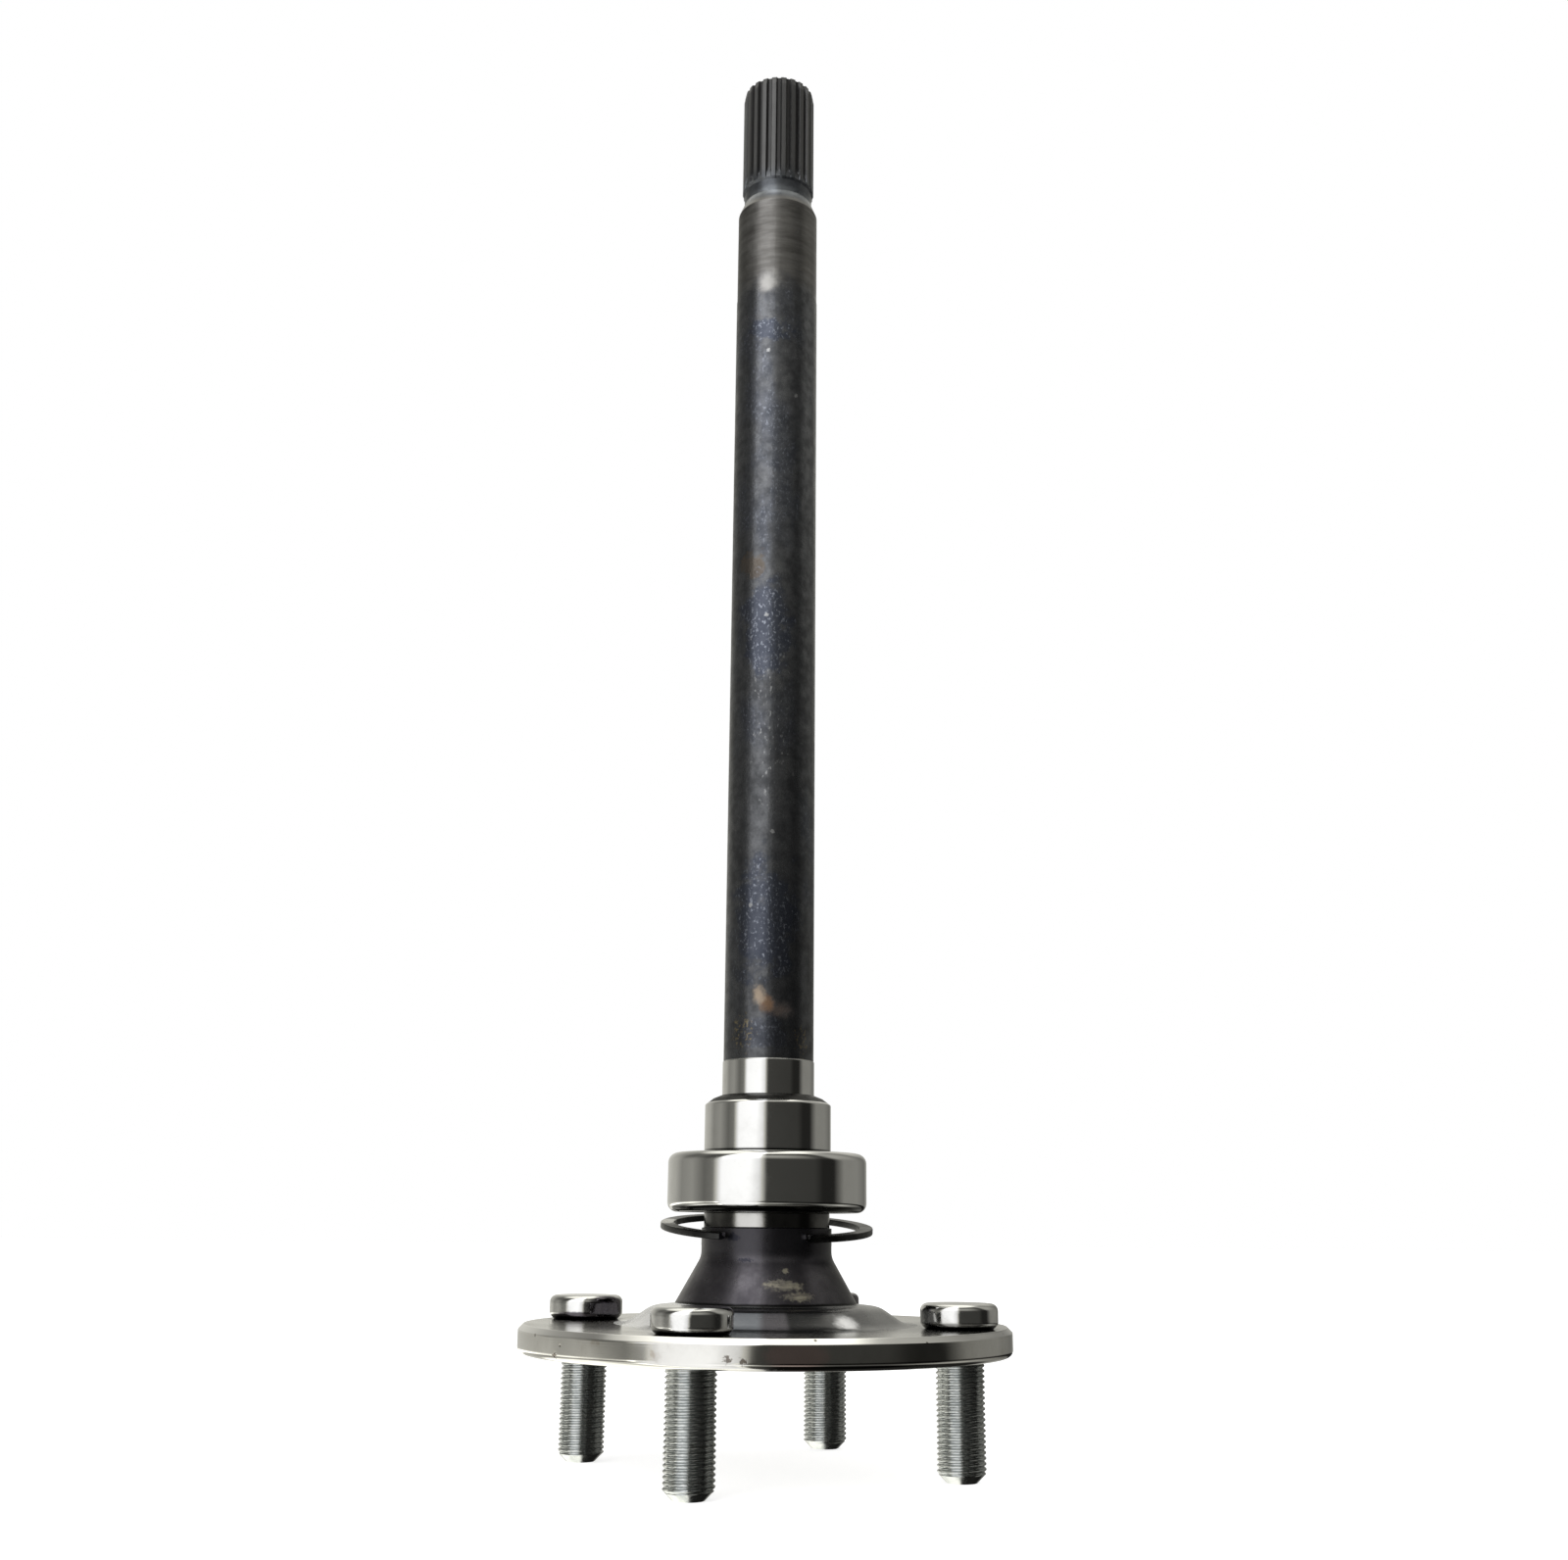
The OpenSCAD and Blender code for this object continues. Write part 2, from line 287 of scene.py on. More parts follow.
def put(name, data):
    """A new object in the scene."""
    made = bpy.data.objects.new(name, data)
    bpy.context.scene.collection.objects.link(made)
    return made


def smooth(piece):
    """Smooth shading with the true edges kept sharp."""
    piece.data.shade_smooth()
    piece.data.set_sharp_from_angle(angle=SHARP_ANGLE)


def belongs(piece, node, body):
    """The piece stands for a CAD node and moves with its body."""
    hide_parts(node)
    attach(piece, body)


def on_surface(r, angle, z):
    """A place on the turned surface, with its angle in degrees from the front towards the right."""
    turn = math.radians(angle)
    return r * math.sin(turn), -r * math.cos(turn), z


# A ragged patch: where its edge lies, and the size of its ragged grain, as shares of its half size
PATCH_EDGE = 0.9
PATCH_GRAIN = 0.8


class Finish:
    """A procedural material whose patterns lie in the frame's own metres."""

    def __init__(self, name, metallic=1.0):
        self.material = bpy.data.materials.new(name)
        self.material.use_nodes = True
        self.tree = self.material.node_tree
        self.shader = self.tree.nodes["Principled BSDF"]
        self.shader.inputs["Metallic"].default_value = metallic
        self.place = self.node("ShaderNodeTexCoord").outputs["Object"]
        parts = self.node("ShaderNodeSeparateXYZ")
        self.join(self.place, parts.inputs[0])
        self.x, self.y, self.z = parts.outputs
        squares = self.add(self.times(self.x, self.x), self.times(self.y, self.y))
        self.radius = self.maths("SQRT", squares)
        self.colour = (1.0, 1.0, 1.0)

    def node(self, kind, **settings):
        made = self.tree.nodes.new(kind)
        for key, value in settings.items():
            setattr(made, key, value)
        return made

    def join(self, value, socket):
        """Feeds a socket from another node's output, or sets it to a number or a colour."""
        if isinstance(value, bpy.types.NodeSocket):
            self.tree.links.new(value, socket)
        elif socket.type == "RGBA":
            socket.default_value = (*value, 1)
        else:
            socket.default_value = value

    def maths(self, operation, first, second=0.0):
        made = self.node("ShaderNodeMath", operation=operation)
        self.join(first, made.inputs[0])
        self.join(second, made.inputs[1])
        return made.outputs[0]

    def combine(self, operation, first, *others):
        for other in others:
            first = self.maths(operation, first, other)
        return first

    def add(self, *values):
        return self.combine("ADD", *values)

    def times(self, *values):
        return self.combine("MULTIPLY", *values)

    def either(self, *shares):
        """The largest of several shares."""
        return self.combine("MAXIMUM", *shares)

    def turn(self):
        """Angle round the shaft in degrees, from the front towards the right."""
        return self.times(self.maths("ARCTAN2", self.x, self.times(self.y, -1.0)), 180 / math.pi)

    def scaled(self, scale, spot=(0, 0, 0)):
        """The way from a spot to the place, divided by a scale along X, Y and Z."""
        made = self.node("ShaderNodeMapping", vector_type="TEXTURE")
        self.join(self.place, made.inputs["Vector"])
        self.join(spot, made.inputs["Location"])
        self.join(scale, made.inputs["Scale"])
        return made.outputs[0]

    def noise(self, size, detail=4.0, stretch=(1, 1, 1), rough=0.6):
        """A cloudy pattern from 0 to 1, with features of about the given size in millimetres."""
        made = self.node("ShaderNodeTexNoise")
        self.join(self.scaled(stretch), made.inputs["Vector"])
        self.join(1 / (size * MM), made.inputs["Scale"])
        self.join(detail, made.inputs["Detail"])
        self.join(rough, made.inputs["Roughness"])
        return made.outputs["Fac"]

    def lines(self, along, size, detail=3.0):
        """Tool marks from 0 to 1 that run square to a direction, about size millimetres apart."""
        made = self.node("ShaderNodeTexNoise", noise_dimensions="1D")
        self.join(self.times(along, 1 / (size * MM)), made.inputs["W"])
        self.join(1.0, made.inputs["Scale"])
        self.join(detail, made.inputs["Detail"])
        return made.outputs["Fac"]

    def specks(self, size, share):
        """Small round spots, 1 inside and 0 outside. Share is the spots' width against their spacing."""
        made = self.node("ShaderNodeTexVoronoi")
        self.join(self.place, made.inputs["Vector"])
        self.join(1 / (size * MM), made.inputs["Scale"])
        return self.step(made.outputs["Distance"], share, share * 0.6)

    def step(self, value, low, high, to_low=0.0, to_high=1.0):
        """Maps low to to_low and high to to_high with a soft change between them."""
        made = self.node("ShaderNodeMapRange", interpolation_type="SMOOTHSTEP")
        for socket, number in zip(made.inputs, (value, low, high, to_low, to_high)):
            self.join(number, socket)
        return made.outputs[0]

    def between(self, value, rise, fall):
        """1 between two soft edges and 0 outside them. An edge is where it starts and where it ends."""
        return self.times(self.step(value, *rise), self.step(value, *fall))

    def fading(self, share, level):
        """1 where the share is 0, and the level where it is 1."""
        return self.step(share, 0.0, 1.0, 1.0, level)

    def by_radius(self, low, high, to_low=0.0, to_high=1.0):
        """A soft change with the distance from the axis, in millimetres."""
        return self.step(self.radius, low * MM, high * MM, to_low, to_high)

    def by_height(self, low, high, to_low=0.0, to_high=1.0):
        """A soft change with the height, in millimetres."""
        return self.step(self.z, low * MM, high * MM, to_low, to_high)

    def above(self, z, blur, ragged=0.0):
        """0 below a height and 1 above it. Blur and the ragged edge's depth are in millimetres."""
        wander = self.times(self.add(self.noise(4, 5), -0.5), 2 * ragged * MM)
        return self.step(self.add(self.z, wander), (z - blur / 2) * MM, (z + blur / 2) * MM)

    def below(self, z, blur, ragged=0.0):
        """1 below a height and 0 above it."""
        return self.maths("SUBTRACT", 1.0, self.above(z, blur, ragged))

    def near(self, spot, reach, ragged=1.2, soft=0.25):
        """1 inside a ragged patch round a spot and 0 outside it. Reach is its half size along X, Y and Z.

        Soft is the width of the patch's fading edge, as a share of the reach."""
        length = self.node("ShaderNodeVectorMath", operation="LENGTH")
        self.join(self.scaled(Vector(reach) * MM, Vector(spot) * MM), length.inputs[0])
        wander = self.times(self.add(self.noise(min(reach) * PATCH_GRAIN, 5), -0.5), 2 * ragged)
        return self.step(self.add(length.outputs["Value"], wander), PATCH_EDGE + soft, PATCH_EDGE - soft)

    def patches(self, marks, ragged=1.2, soft=0.25):
        """Ragged patches. A mark is a radius, angle and height, and a half size along X, Y and Z."""
        return self.either(*[self.near(on_surface(*mark[:3]), mark[3:], ragged, soft) for mark in marks])

    def mix(self, share, first, second):
        made = self.node("ShaderNodeMix", data_type="RGBA")
        sockets = {socket.identifier: socket for socket in made.inputs}
        self.join(share, sockets["Factor_Float"])
        self.join(first, sockets["A_Color"])
        self.join(second, sockets["B_Color"])
        return {socket.identifier: socket for socket in made.outputs}["Result_Color"]

    def coat(self, share, colour, strength=1.0):
        """Covers the colour so far with another one, by a share."""
        self.colour = self.mix(self.times(share, strength), self.colour, colour)

    def brighter(self, colour, gain):
        """The colour times a number."""
        made = self.node("ShaderNodeVectorMath", operation="SCALE")
        self.join(colour, made.inputs[0])
        self.join(gain, made.inputs["Scale"])
        return made.outputs[0]

    def done(self, roughness, height, depth):
        """Sets the shader's colour and roughness, and a relief of the given depth in millimetres."""
        self.join(self.colour, self.shader.inputs["Base Color"])
        self.join(roughness, self.shader.inputs["Roughness"])
        relief = self.node("ShaderNodeBump")
        self.join(depth * MM, relief.inputs["Distance"])
        self.join(height, relief.inputs["Height"])
        self.join(relief.outputs[0], self.shader.inputs["Normal"])
        return self.material


# The two ends of a cloudy pattern
CLOUD = (0.3, 0.75)
PALE_CLOUD = (0.35, 0.75)

GROUND_BRIGHT = (0.69, 0.69, 0.68)
GROUND_DULL = (0.63, 0.628, 0.615)
PAINTED_FOOT_SHADE = (0.02, 0.02, 0.018)


def ground_steel(name, shaded_below=None):
    """Mirror-ground steel with fine lines round the piece, faint hand marks and painted shade at its foot.
    """
    steel = Finish(name)
    smudge = steel.noise(9, 5)
    line = steel.lines(steel.z, 0.25)
    steel.colour = steel.mix(steel.step(smudge, 0.45, 0.75), GROUND_BRIGHT, GROUND_DULL)
    # Painted shade along the piece's foot, up to the given height
    if shaded_below:
        steel.coat(steel.below(shaded_below, 0.6), PAINTED_FOOT_SHADE)
    roughness = steel.add(steel.step(smudge, 0.4, 0.8, 0.06, 0.13), steel.step(line, 0.4, 0.8, 0, 0.04))
    return steel.done(roughness, line, 0.0006)


def shoulder_steel():
    """The shoulder under the bearing: dull, painted dark as shade under the bearing, with a painted
    highlight at the front left.
    """
    steel = Finish("shoulder_steel")
    smudge = steel.noise(4, 5)
    line = steel.lines(steel.z, 0.3)
    # Where the painted highlight lies, at the front left
    painted_highlight = steel.patches([(shoulder_r, -16, shoulder_z + 2, 4.3, 5.0, 8.0)], 0.4)
    # The dark base colour is painted shade under the bearing
    steel.colour = steel.mix(steel.step(smudge, 0.35, 0.7), (0.1, 0.099, 0.095), (0.06, 0.059, 0.057))
    steel.coat(painted_highlight, (0.45, 0.445, 0.43))
    return steel.done(steel.step(smudge, 0.35, 0.7, 0.12, 0.22), line, 0.001)


# Marks on the flange: pits, a painted red reflection on the rim, painted shadow round the studs and painted
# shade on the right
RIM_PITS = [(flange_r, angle, z, 0.8, 0.8, 0.8) for angle, z in ((-7.7, 2.6), (-4.5, 2.1), (-51.6, 1.5))]
RIM_RED_REFLECTION = [(flange_r, 6.5, 3.4, 7.6, 5.0, 3.6)]
STUD_SHADE_SIZE = (stud_head_r + 1.6, stud_head_r + 1.6, 1.0)
STUD_SHADE = [
    (stud_circle_r, 90 + stud_phase + 360 * i / stud_count, flange_t, *STUD_SHADE_SIZE)
    for i in range(stud_count)
]
RIGHT_SHADE_MIDDLE = (42.0, -16.0, flange_t)
RIGHT_SHADE_SIZE = (17.0, 24.0, 2.0)
# Painted shade on the flange in front of the boss's foot: the angles of its two ends, and the radii where
# it fades out
SHADE_BEFORE_BOSS_ENDS = ((-55, -40), (48, 34))
SHADE_BEFORE_BOSS_FADE = (boss_base_r + 9, boss_base_r + 6)


def machined_steel():
    """The flange: turned bright, with tool marks, small pits and brown stains, a painted highlight on its
    top edge, a painted red reflection on the rim, and painted shade round the studs, in front of the boss's
    foot and on the right.
    """
    steel = Finish("machined_steel")
    edge_r = flange_r - flange_edge
    edge_z = flange_t - flange_edge
    marks = steel.times(steel.lines(steel.radius, 0.5), steel.lines(steel.z, 0.35))
    cloud = steel.noise(14, 5)
    pits = steel.either(steel.specks(5.0, 0.09), steel.patches(RIM_PITS, 2.0))
    # Painted red reflection on the rim, below its top edge
    red_reflection = steel.times(steel.patches(RIM_RED_REFLECTION, 0.3), steel.by_height(edge_z, edge_z - 0.4))
    # Painted highlight on the flange's top edge
    edge_highlight = steel.times(steel.above(edge_z, 0.3), steel.by_radius(edge_r - 0.3, edge_r))
    stain = steel.step(steel.noise(7, 6), 0.62, 0.75)
    # Painted shade on the flange in front of the boss's foot
    shade_before_boss = steel.times(steel.between(steel.turn(), *SHADE_BEFORE_BOSS_ENDS), steel.by_radius(*SHADE_BEFORE_BOSS_FADE))
    # Painted shadow round the foot of each stud head
    under_head_shade = steel.patches(STUD_SHADE, 0.1, 0.06)
    # Painted shade on the flange top's right
    right_shade = steel.times(steel.near(RIGHT_SHADE_MIDDLE, RIGHT_SHADE_SIZE, 0.2, 0.4), 0.7)
    shade_and_dirt = steel.times(steel.either(shade_before_boss, right_shade, under_head_shade), steel.above(flange_t - 0.3, 0.3))
    steel.colour = steel.mix(steel.step(cloud, *PALE_CLOUD), (0.62, 0.615, 0.59), (0.5, 0.49, 0.465))
    steel.coat(stain, (0.3, 0.24, 0.18), 0.45)
    steel.coat(red_reflection, (0.85, 0.65, 0.62), 0.8)
    steel.coat(edge_highlight, (0.88, 0.875, 0.86))
    # The painted shade and shadow of the three patches above, laid on as near black
    steel.coat(shade_and_dirt, (0.025, 0.025, 0.024), 0.9)
    steel.coat(pits, (0.07, 0.05, 0.035), 0.8)
    face = steel.by_radius(edge_r, edge_r - 0.6, 0.0, 0.09)
    roughness = steel.add(steel.step(cloud, *PALE_CLOUD, 0.05, 0.11), steel.times(marks, 0.04), face)
    relief = steel.maths("SUBTRACT", marks, steel.times(pits, 6.0))
    return steel.done(roughness, relief, 0.002)


# The boss's painted reflection bands: the angle where each starts, the blur of its start in degrees, and
# its colour
BOSS_PALE_REFLECTION = (0.75, 0.745, 0.73)
BOSS_REFLECTION_BANDS = [
    (-48, 10, (0.3, 0.3, 0.295)),
    (-15, 1.5, (0.27, 0.285, 0.3)),
    (-2, 2, (0.15, 0.142, 0.148)),
    (9, 1.5, (0.035, 0.035, 0.034)),
    (28, 5, (0.11, 0.109, 0.105)),
    (110, 30, BOSS_PALE_REFLECTION),
]
BOSS_HIGHLIGHT = [(33.6, 35.7, 8.5, 2.9, 3.6, 2.0)]
# The painted shade at the boss's crown and foot: the angles of its two ends, and the radii where it fades
# out
BOSS_SHADE_ENDS = ((-60, -45), (45, 30))
BOSS_CROWN_FADE = (boss_top_r + 1.1, boss_top_r + 0.5)
BOSS_FOOT_FADE = (boss_base_r - 0.8, boss_base_r + 0.2)


def boss_steel():
    """The boss round the cone: machined, with painted reflection bands, a painted highlight, dark worn
    patches and painted shade at its crown and foot.
    """
    steel = Finish("boss_steel", 0.5)
    marks = steel.lines(steel.radius, 0.7)
    cloud = steel.noise(8, 4, stretch=(1.6, 1.6, 1))
    turn = steel.turn()
    steel.colour = BOSS_PALE_REFLECTION
    # Bands of painted reflection round the boss
    for start, blur, band in BOSS_REFLECTION_BANDS:
        steel.coat(steel.step(turn, start - blur, start + blur), band)
    # Painted highlight on the boss's slope
    steel.coat(steel.patches(BOSS_HIGHLIGHT, 0.5, 0.6), (0.9, 0.895, 0.885))
    # Painted shade along the boss's crown and foot in front
    edges = steel.either(steel.by_radius(*BOSS_CROWN_FADE), steel.by_radius(*BOSS_FOOT_FADE))
    shade_and_dirt = steel.times(steel.between(turn, *BOSS_SHADE_ENDS), edges, 0.95)
    worn = steel.times(steel.step(cloud, 0.45, 0.7), 0.3)
    steel.coat(steel.either(worn, shade_and_dirt), (0.01, 0.01, 0.01))
    roughness = steel.add(steel.step(cloud, 0.35, 0.7, 0.16, 0.28), steel.times(marks, 0.06))
    return steel.done(roughness, steel.add(marks, steel.times(cloud, 0.5)), 0.012)


# Marks on the cone and the neck
CONE_SCUFFS = [(21.0, 14.5, 17.0, 5.2, 2.4, 1.3), (22.5, 22.5, 14.4, 4.9, 2.2, 1.1)]
CONE_FLECK = [(18.8, 15, 20.4, 0.8, 0.8, 0.7)]
# Two darker spots on the neck
NECK_DARK_SPOTS = [(17.3, -18, 22.9, 2.0, 1.5, 0.5), (neck_r, -30, 28.5, 2.0, 1.5, 1.0)]
# Where the painted shade on the cone's right comes in, across X in metres
CONE_SHADE_X = (10 * MM, 17 * MM)


def forged_black():
    """The cone and the neck: black forging skin with two tan scuffs and a few smaller marks, painted shade
    on the cone's right and a painted shadow line at its foot.
    """
    skin = Finish("forged_black", 0.92)
    cloud = skin.noise(6, 6)
    grain = skin.noise(0.9, 4)
    scuff = skin.either(skin.patches(CONE_SCUFFS, 1.2, 0.4), skin.patches(CONE_FLECK))
    skin.colour = skin.mix(skin.step(cloud, *CLOUD), (0.062, 0.058, 0.066), (0.13, 0.123, 0.135))
    skin.coat(skin.above(neck_z - 1, 6), (0.05, 0.048, 0.054))
    # Painted shade on the cone's right side
    skin.coat(skin.step(skin.x, *CONE_SHADE_X, 0.0, 0.6), (0.03, 0.029, 0.032))
    # Two darker spots on the neck
    skin.coat(skin.patches(NECK_DARK_SPOTS), (0.02, 0.021, 0.03), 0.8)
    # Painted shadow line at the cone's foot, against the boss
    skin.coat(skin.below(cone_foot_z + 0.9, 0.5, 0.2), (0.008, 0.008, 0.008))
    streak = skin.step(skin.noise(1.0, 4, stretch=(5, 5, 1)), 0.4, 0.62, 0.4, 1.0)
    skin.coat(skin.times(scuff, streak), (0.6, 0.555, 0.43), 0.7)
    roughness = skin.add(skin.step(cloud, *CLOUD, 0.34, 0.24), skin.times(scuff, 0.25))
    return skin.done(roughness, skin.add(grain, cloud), 0.02)


# Marks on the bar
BAR_BLUE = [(bar_r, -14, 285, 8, 8, 4), (bar_r, -14, 192, 8, 8, 16), (bar_r, -10, 110, 9, 8, 16)]
BAR_FAINT_BLUE = [(bar_r, -10, 80, 7, 6, 6)]
BAR_BROWN = [(bar_r, -30, 211, 4, 4, 4)]
BAR_WORN = [(bar_r, -5, 165, 7, 6, 24)]
BAR_FLECKS = [
    (bar_r, angle, z, 0.6, 0.6, 0.6)
    for angle, z in ((-11, 278), (29, 264), (2, 134), (-26, 114), (-9, 196))
]
BAR_RUST = [(bar_r, -2, 87.5, 1.9, 3.0, 2.3)]
BAR_FAINT_RUST = [(bar_r, 14, 86.0, 3.0, 3.0, 1.8)]
# A pale tan spot beside the rust
BAR_PALE_SPOT = [(bar_r, -13, 89.8, 1.6, 3.0, 2.3)]
BAR_FOOT = [(bar_r, -36, 80, 4, 4, 5), (bar_r, 46, 78, 3, 3, 4)]
TURNED_SHINE = [(turned_r, -12.5, turned_z + 1.4, 3.5, 4.0, 3.5)]
# Where the painted shade on the turned zone's left fades out, across X in metres
TURNED_SHADE_X = (-0.97 * turned_r * MM, -0.64 * turned_r * MM)
BAR_METAL = 0.94


def bar_skin():
    """The bar and its turned upper end: dark scale in blue and grey zones, with flecks and a rust spot."""
    skin = Finish("bar_skin", BAR_METAL)
    zones = skin.noise(24, 4, stretch=(1, 1, 2))
    mottle = skin.noise(3.2, 6)
    grain = skin.noise(0.8, 3)
    streak = skin.noise(1.2, 4, stretch=(1, 1, 9))
    marks = skin.noise(2.0, 4, stretch=(6, 6, 1))
    turned = skin.above(turned_z + 2, 9, ragged=6)
    height = skin.by_height(bar_z, turned_z, 0.85, 1.25)

    faint_blue = skin.times(skin.patches(BAR_FAINT_BLUE), 0.6)
    blue = skin.either(skin.step(zones, 0.52, 0.64, 0.0, 0.5), skin.patches(BAR_BLUE), faint_blue)
    fleck = skin.step(skin.noise(1.1, 5, stretch=(1, 1, 1.8)), 0.58, 0.68)
    worn = skin.times(skin.patches(BAR_WORN), 0.75)
    few_flecks = skin.times(fleck, skin.add(worn, skin.step(zones, 0.42, 0.3, 0, 0.6)))
    pale = skin.either(few_flecks, skin.patches(BAR_FLECKS))
    faint_rust = skin.times(skin.patches(BAR_FAINT_RUST, 0.8, 0.8), 0.4)
    rust = skin.either(skin.patches(BAR_RUST, 0.8, 0.6), faint_rust)
    pale_spot = skin.patches(BAR_PALE_SPOT, 0.9, 0.6)
    tan = skin.times(skin.patches(BAR_FOOT), skin.step(skin.noise(0.9, 4), 0.52, 0.62))
    sheen = skin.times(blue, skin.step(skin.noise(0.7, 4, stretch=(1, 1, 1.5)), 0.54, 0.66))
    shine = skin.patches(TURNED_SHINE, 0.6, 0.5)

    skin.colour = skin.mix(skin.step(mottle, 0.3, 0.72), (0.06, 0.062, 0.066), (0.125, 0.128, 0.135))
    skin.coat(blue, (0.056, 0.065, 0.092), 0.7)
    skin.coat(skin.patches(BAR_BROWN), (0.13, 0.105, 0.08), 0.6)
    skin.coat(sheen, (0.28, 0.3, 0.35), 0.75)
    skin.coat(pale, (0.36, 0.365, 0.37), 0.75)
    bright = skin.mix(skin.step(marks, 0.3, 0.7), (0.12, 0.116, 0.11), (0.2, 0.195, 0.188))
    # Painted shade on the turned zone's left side
    bright = skin.brighter(bright, skin.step(skin.x, *TURNED_SHADE_X, 0.6, 1.0))
    bright = skin.mix(shine, bright, (0.34, 0.335, 0.325))
    # Painted highlight: the bar's colour grows brighter towards its top
    skin.colour = skin.brighter(skin.colour, height)
    skin.coat(skin.either(turned, shine), bright)
    skin.coat(tan, (0.26, 0.21, 0.12), 0.6)
    skin.coat(rust, (0.15, 0.08, 0.035), 0.8)
    skin.coat(pale_spot, (0.34, 0.27, 0.2), 0.75)
    skin.join(skin.add(BAR_METAL, skin.times(rust, -0.6)), skin.shader.inputs["Metallic"])
    roughness = skin.add(skin.step(mottle, *CLOUD, 0.33, 0.23), skin.step(streak, 0.4, 0.8, 0.04, -0.02))
    roughness = skin.add(roughness, skin.times(skin.either(rust, turned), 0.07))
    coarse = skin.times(grain, skin.step(turned, 0.0, 1.0, 1.6, 0.3))
    relief = skin.add(mottle, streak, skin.add(coarse, skin.times(marks, turned)))
    return skin.done(roughness, relief, 0.02)


def spline_steel():
    """The splined end: matte dark teeth above a bluish neck, with a painted highlight ring at the neck's
    foot, and the grooves painted darker than the crests as shade.
    """
    steel = Finish("spline_steel", 0.85)
    cloud = steel.noise(4, 5)
    grain = steel.noise(0.6, 3)
    teeth = steel.above(spline_z + 3, 8, ragged=3)
    ring_highlight_fade = steel.by_height(spline_neck_z + 2.2, spline_neck_z + 0.6)
    # A painted highlight ring on the fillet at the neck's foot
    ring = steel.times(steel.above(spline_neck_z - 1.4, 1.6), steel.step(teeth, 0.3, 0.0), ring_highlight_fade)
    taper = steel.by_height(spline_neck_z - 1.4, taper_z)
    steel.colour = steel.mix(steel.step(cloud, *CLOUD), (0.065, 0.07, 0.078), (0.105, 0.112, 0.124))
    # The grooves between the teeth are painted darker than the crests, as painted shade
    crest = steel.by_radius(spline_floor_r + 0.3, spline_r - 0.1)
    tooth = steel.mix(crest, (0.06, 0.06, 0.06), (0.11, 0.11, 0.109))
    steel.coat(teeth, tooth)
    # The painted highlight ring at the neck's foot
    steel.coat(steel.times(ring, steel.step(cloud, 0.3, 0.6)), (0.16, 0.172, 0.186))
    steel.coat(taper, (0.11, 0.106, 0.1))
    roughness = steel.add(steel.step(cloud, *CLOUD, 0.36, 0.28), steel.times(teeth, 0.14))
    return steel.done(roughness, grain, 0.02)


def zinc_steel():
    """The stud threads: zinc-plated, with dull spots and dirt."""
    steel = Finish("zinc_steel")
    cloud = steel.noise(3, 5)
    shade_and_dirt = steel.step(steel.noise(1.6, 6), 0.58, 0.75)
    steel.colour = steel.mix(steel.step(cloud, *CLOUD), (0.5, 0.515, 0.51), (0.38, 0.4, 0.4))
    steel.coat(shade_and_dirt, (0.12, 0.115, 0.105), 0.55)
    return steel.done(steel.step(cloud, *CLOUD, 0.16, 0.28), cloud, 0.01)


# Painted shade on the heads: the middle, the half size and the edge's softness of each patch
HEAD_SHADE = [
    ((-41.0, 9.6, flange_t + 3), (6.8, 6.8, 3.6), 0.1),
    ((-48.0, 7.3, flange_t + 1), (14.0, 6.0, 1.2), 0.2),
    ((25.0, 43.0, flange_t + 3), (5.0, 7.0, 6.0), 0.2),
]


def polished_steel():
    """The stud heads: pressed and plated bright, with a painted shadow at their foot and patches of painted
    shade.
    """
    steel = Finish("polished_steel")
    cloud = steel.noise(4, 5)
    dents = steel.noise(1.1, 3)
    steel.colour = steel.mix(steel.step(cloud, *PALE_CLOUD), (0.68, 0.68, 0.67), (0.58, 0.58, 0.57))
    # Painted shadow along the foot of each head
    steel.coat(steel.below(flange_t + 0.9, 0.6), (0.03, 0.03, 0.032))
    # Patches of painted shade on the heads
    head_shade = steel.either(*[steel.near(middle, size, 0.2, soft) for middle, size, soft in HEAD_SHADE])
    steel.coat(head_shade, (0.05, 0.042, 0.056), 0.9)
    return steel.done(steel.step(cloud, *PALE_CLOUD, 0.06, 0.14), dents, 0.006)


# Painted highlights on the ring's left and on its two ends: the middle and the half size of each
RING_HIGHLIGHTS = [
    ((-26.6, 8.4, ring_z + 1.5), (3.4, 7.0, 1.4)),
    ((-10.6, -14.2, ring_z - 1.6), (1.0, 1.6, 0.8)),
    ((10.6, -14.2, ring_z - 2.1), (1.0, 1.6, 0.8)),
]


def spring_black():
    """The snap ring: black spring steel, rubbed brighter in places, with painted highlights on its left and
    its two ends.
    """
    steel = Finish("spring_black")
    cloud = steel.noise(5, 5)
    rub = steel.step(steel.noise(2.2, 5), 0.55, 0.75)
    steel.colour = steel.mix(steel.step(cloud, *CLOUD), (0.02, 0.02, 0.021), (0.045, 0.045, 0.045))
    steel.coat(rub, (0.09, 0.09, 0.088), 0.5)
    painted_highlight = steel.either(*[steel.near(middle, size, 0.3) for middle, size in RING_HIGHLIGHTS])
    # Painted highlights on the ring's left and on its two end faces
    steel.coat(painted_highlight, (0.6, 0.6, 0.59))
    return steel.done(steel.step(cloud, *CLOUD, 0.4, 0.28), cloud, 0.01)


# Colours of the plain finishes at the two ends of their clouds
SEAL_COLOURS = ((0.016, 0.016, 0.017), (0.032, 0.031, 0.03))
CAP_COLOURS = ((0.01, 0.01, 0.01), (0.03, 0.029, 0.028))
CAGE_COLOURS = ((0.45, 0.44, 0.42), (0.33, 0.325, 0.31))


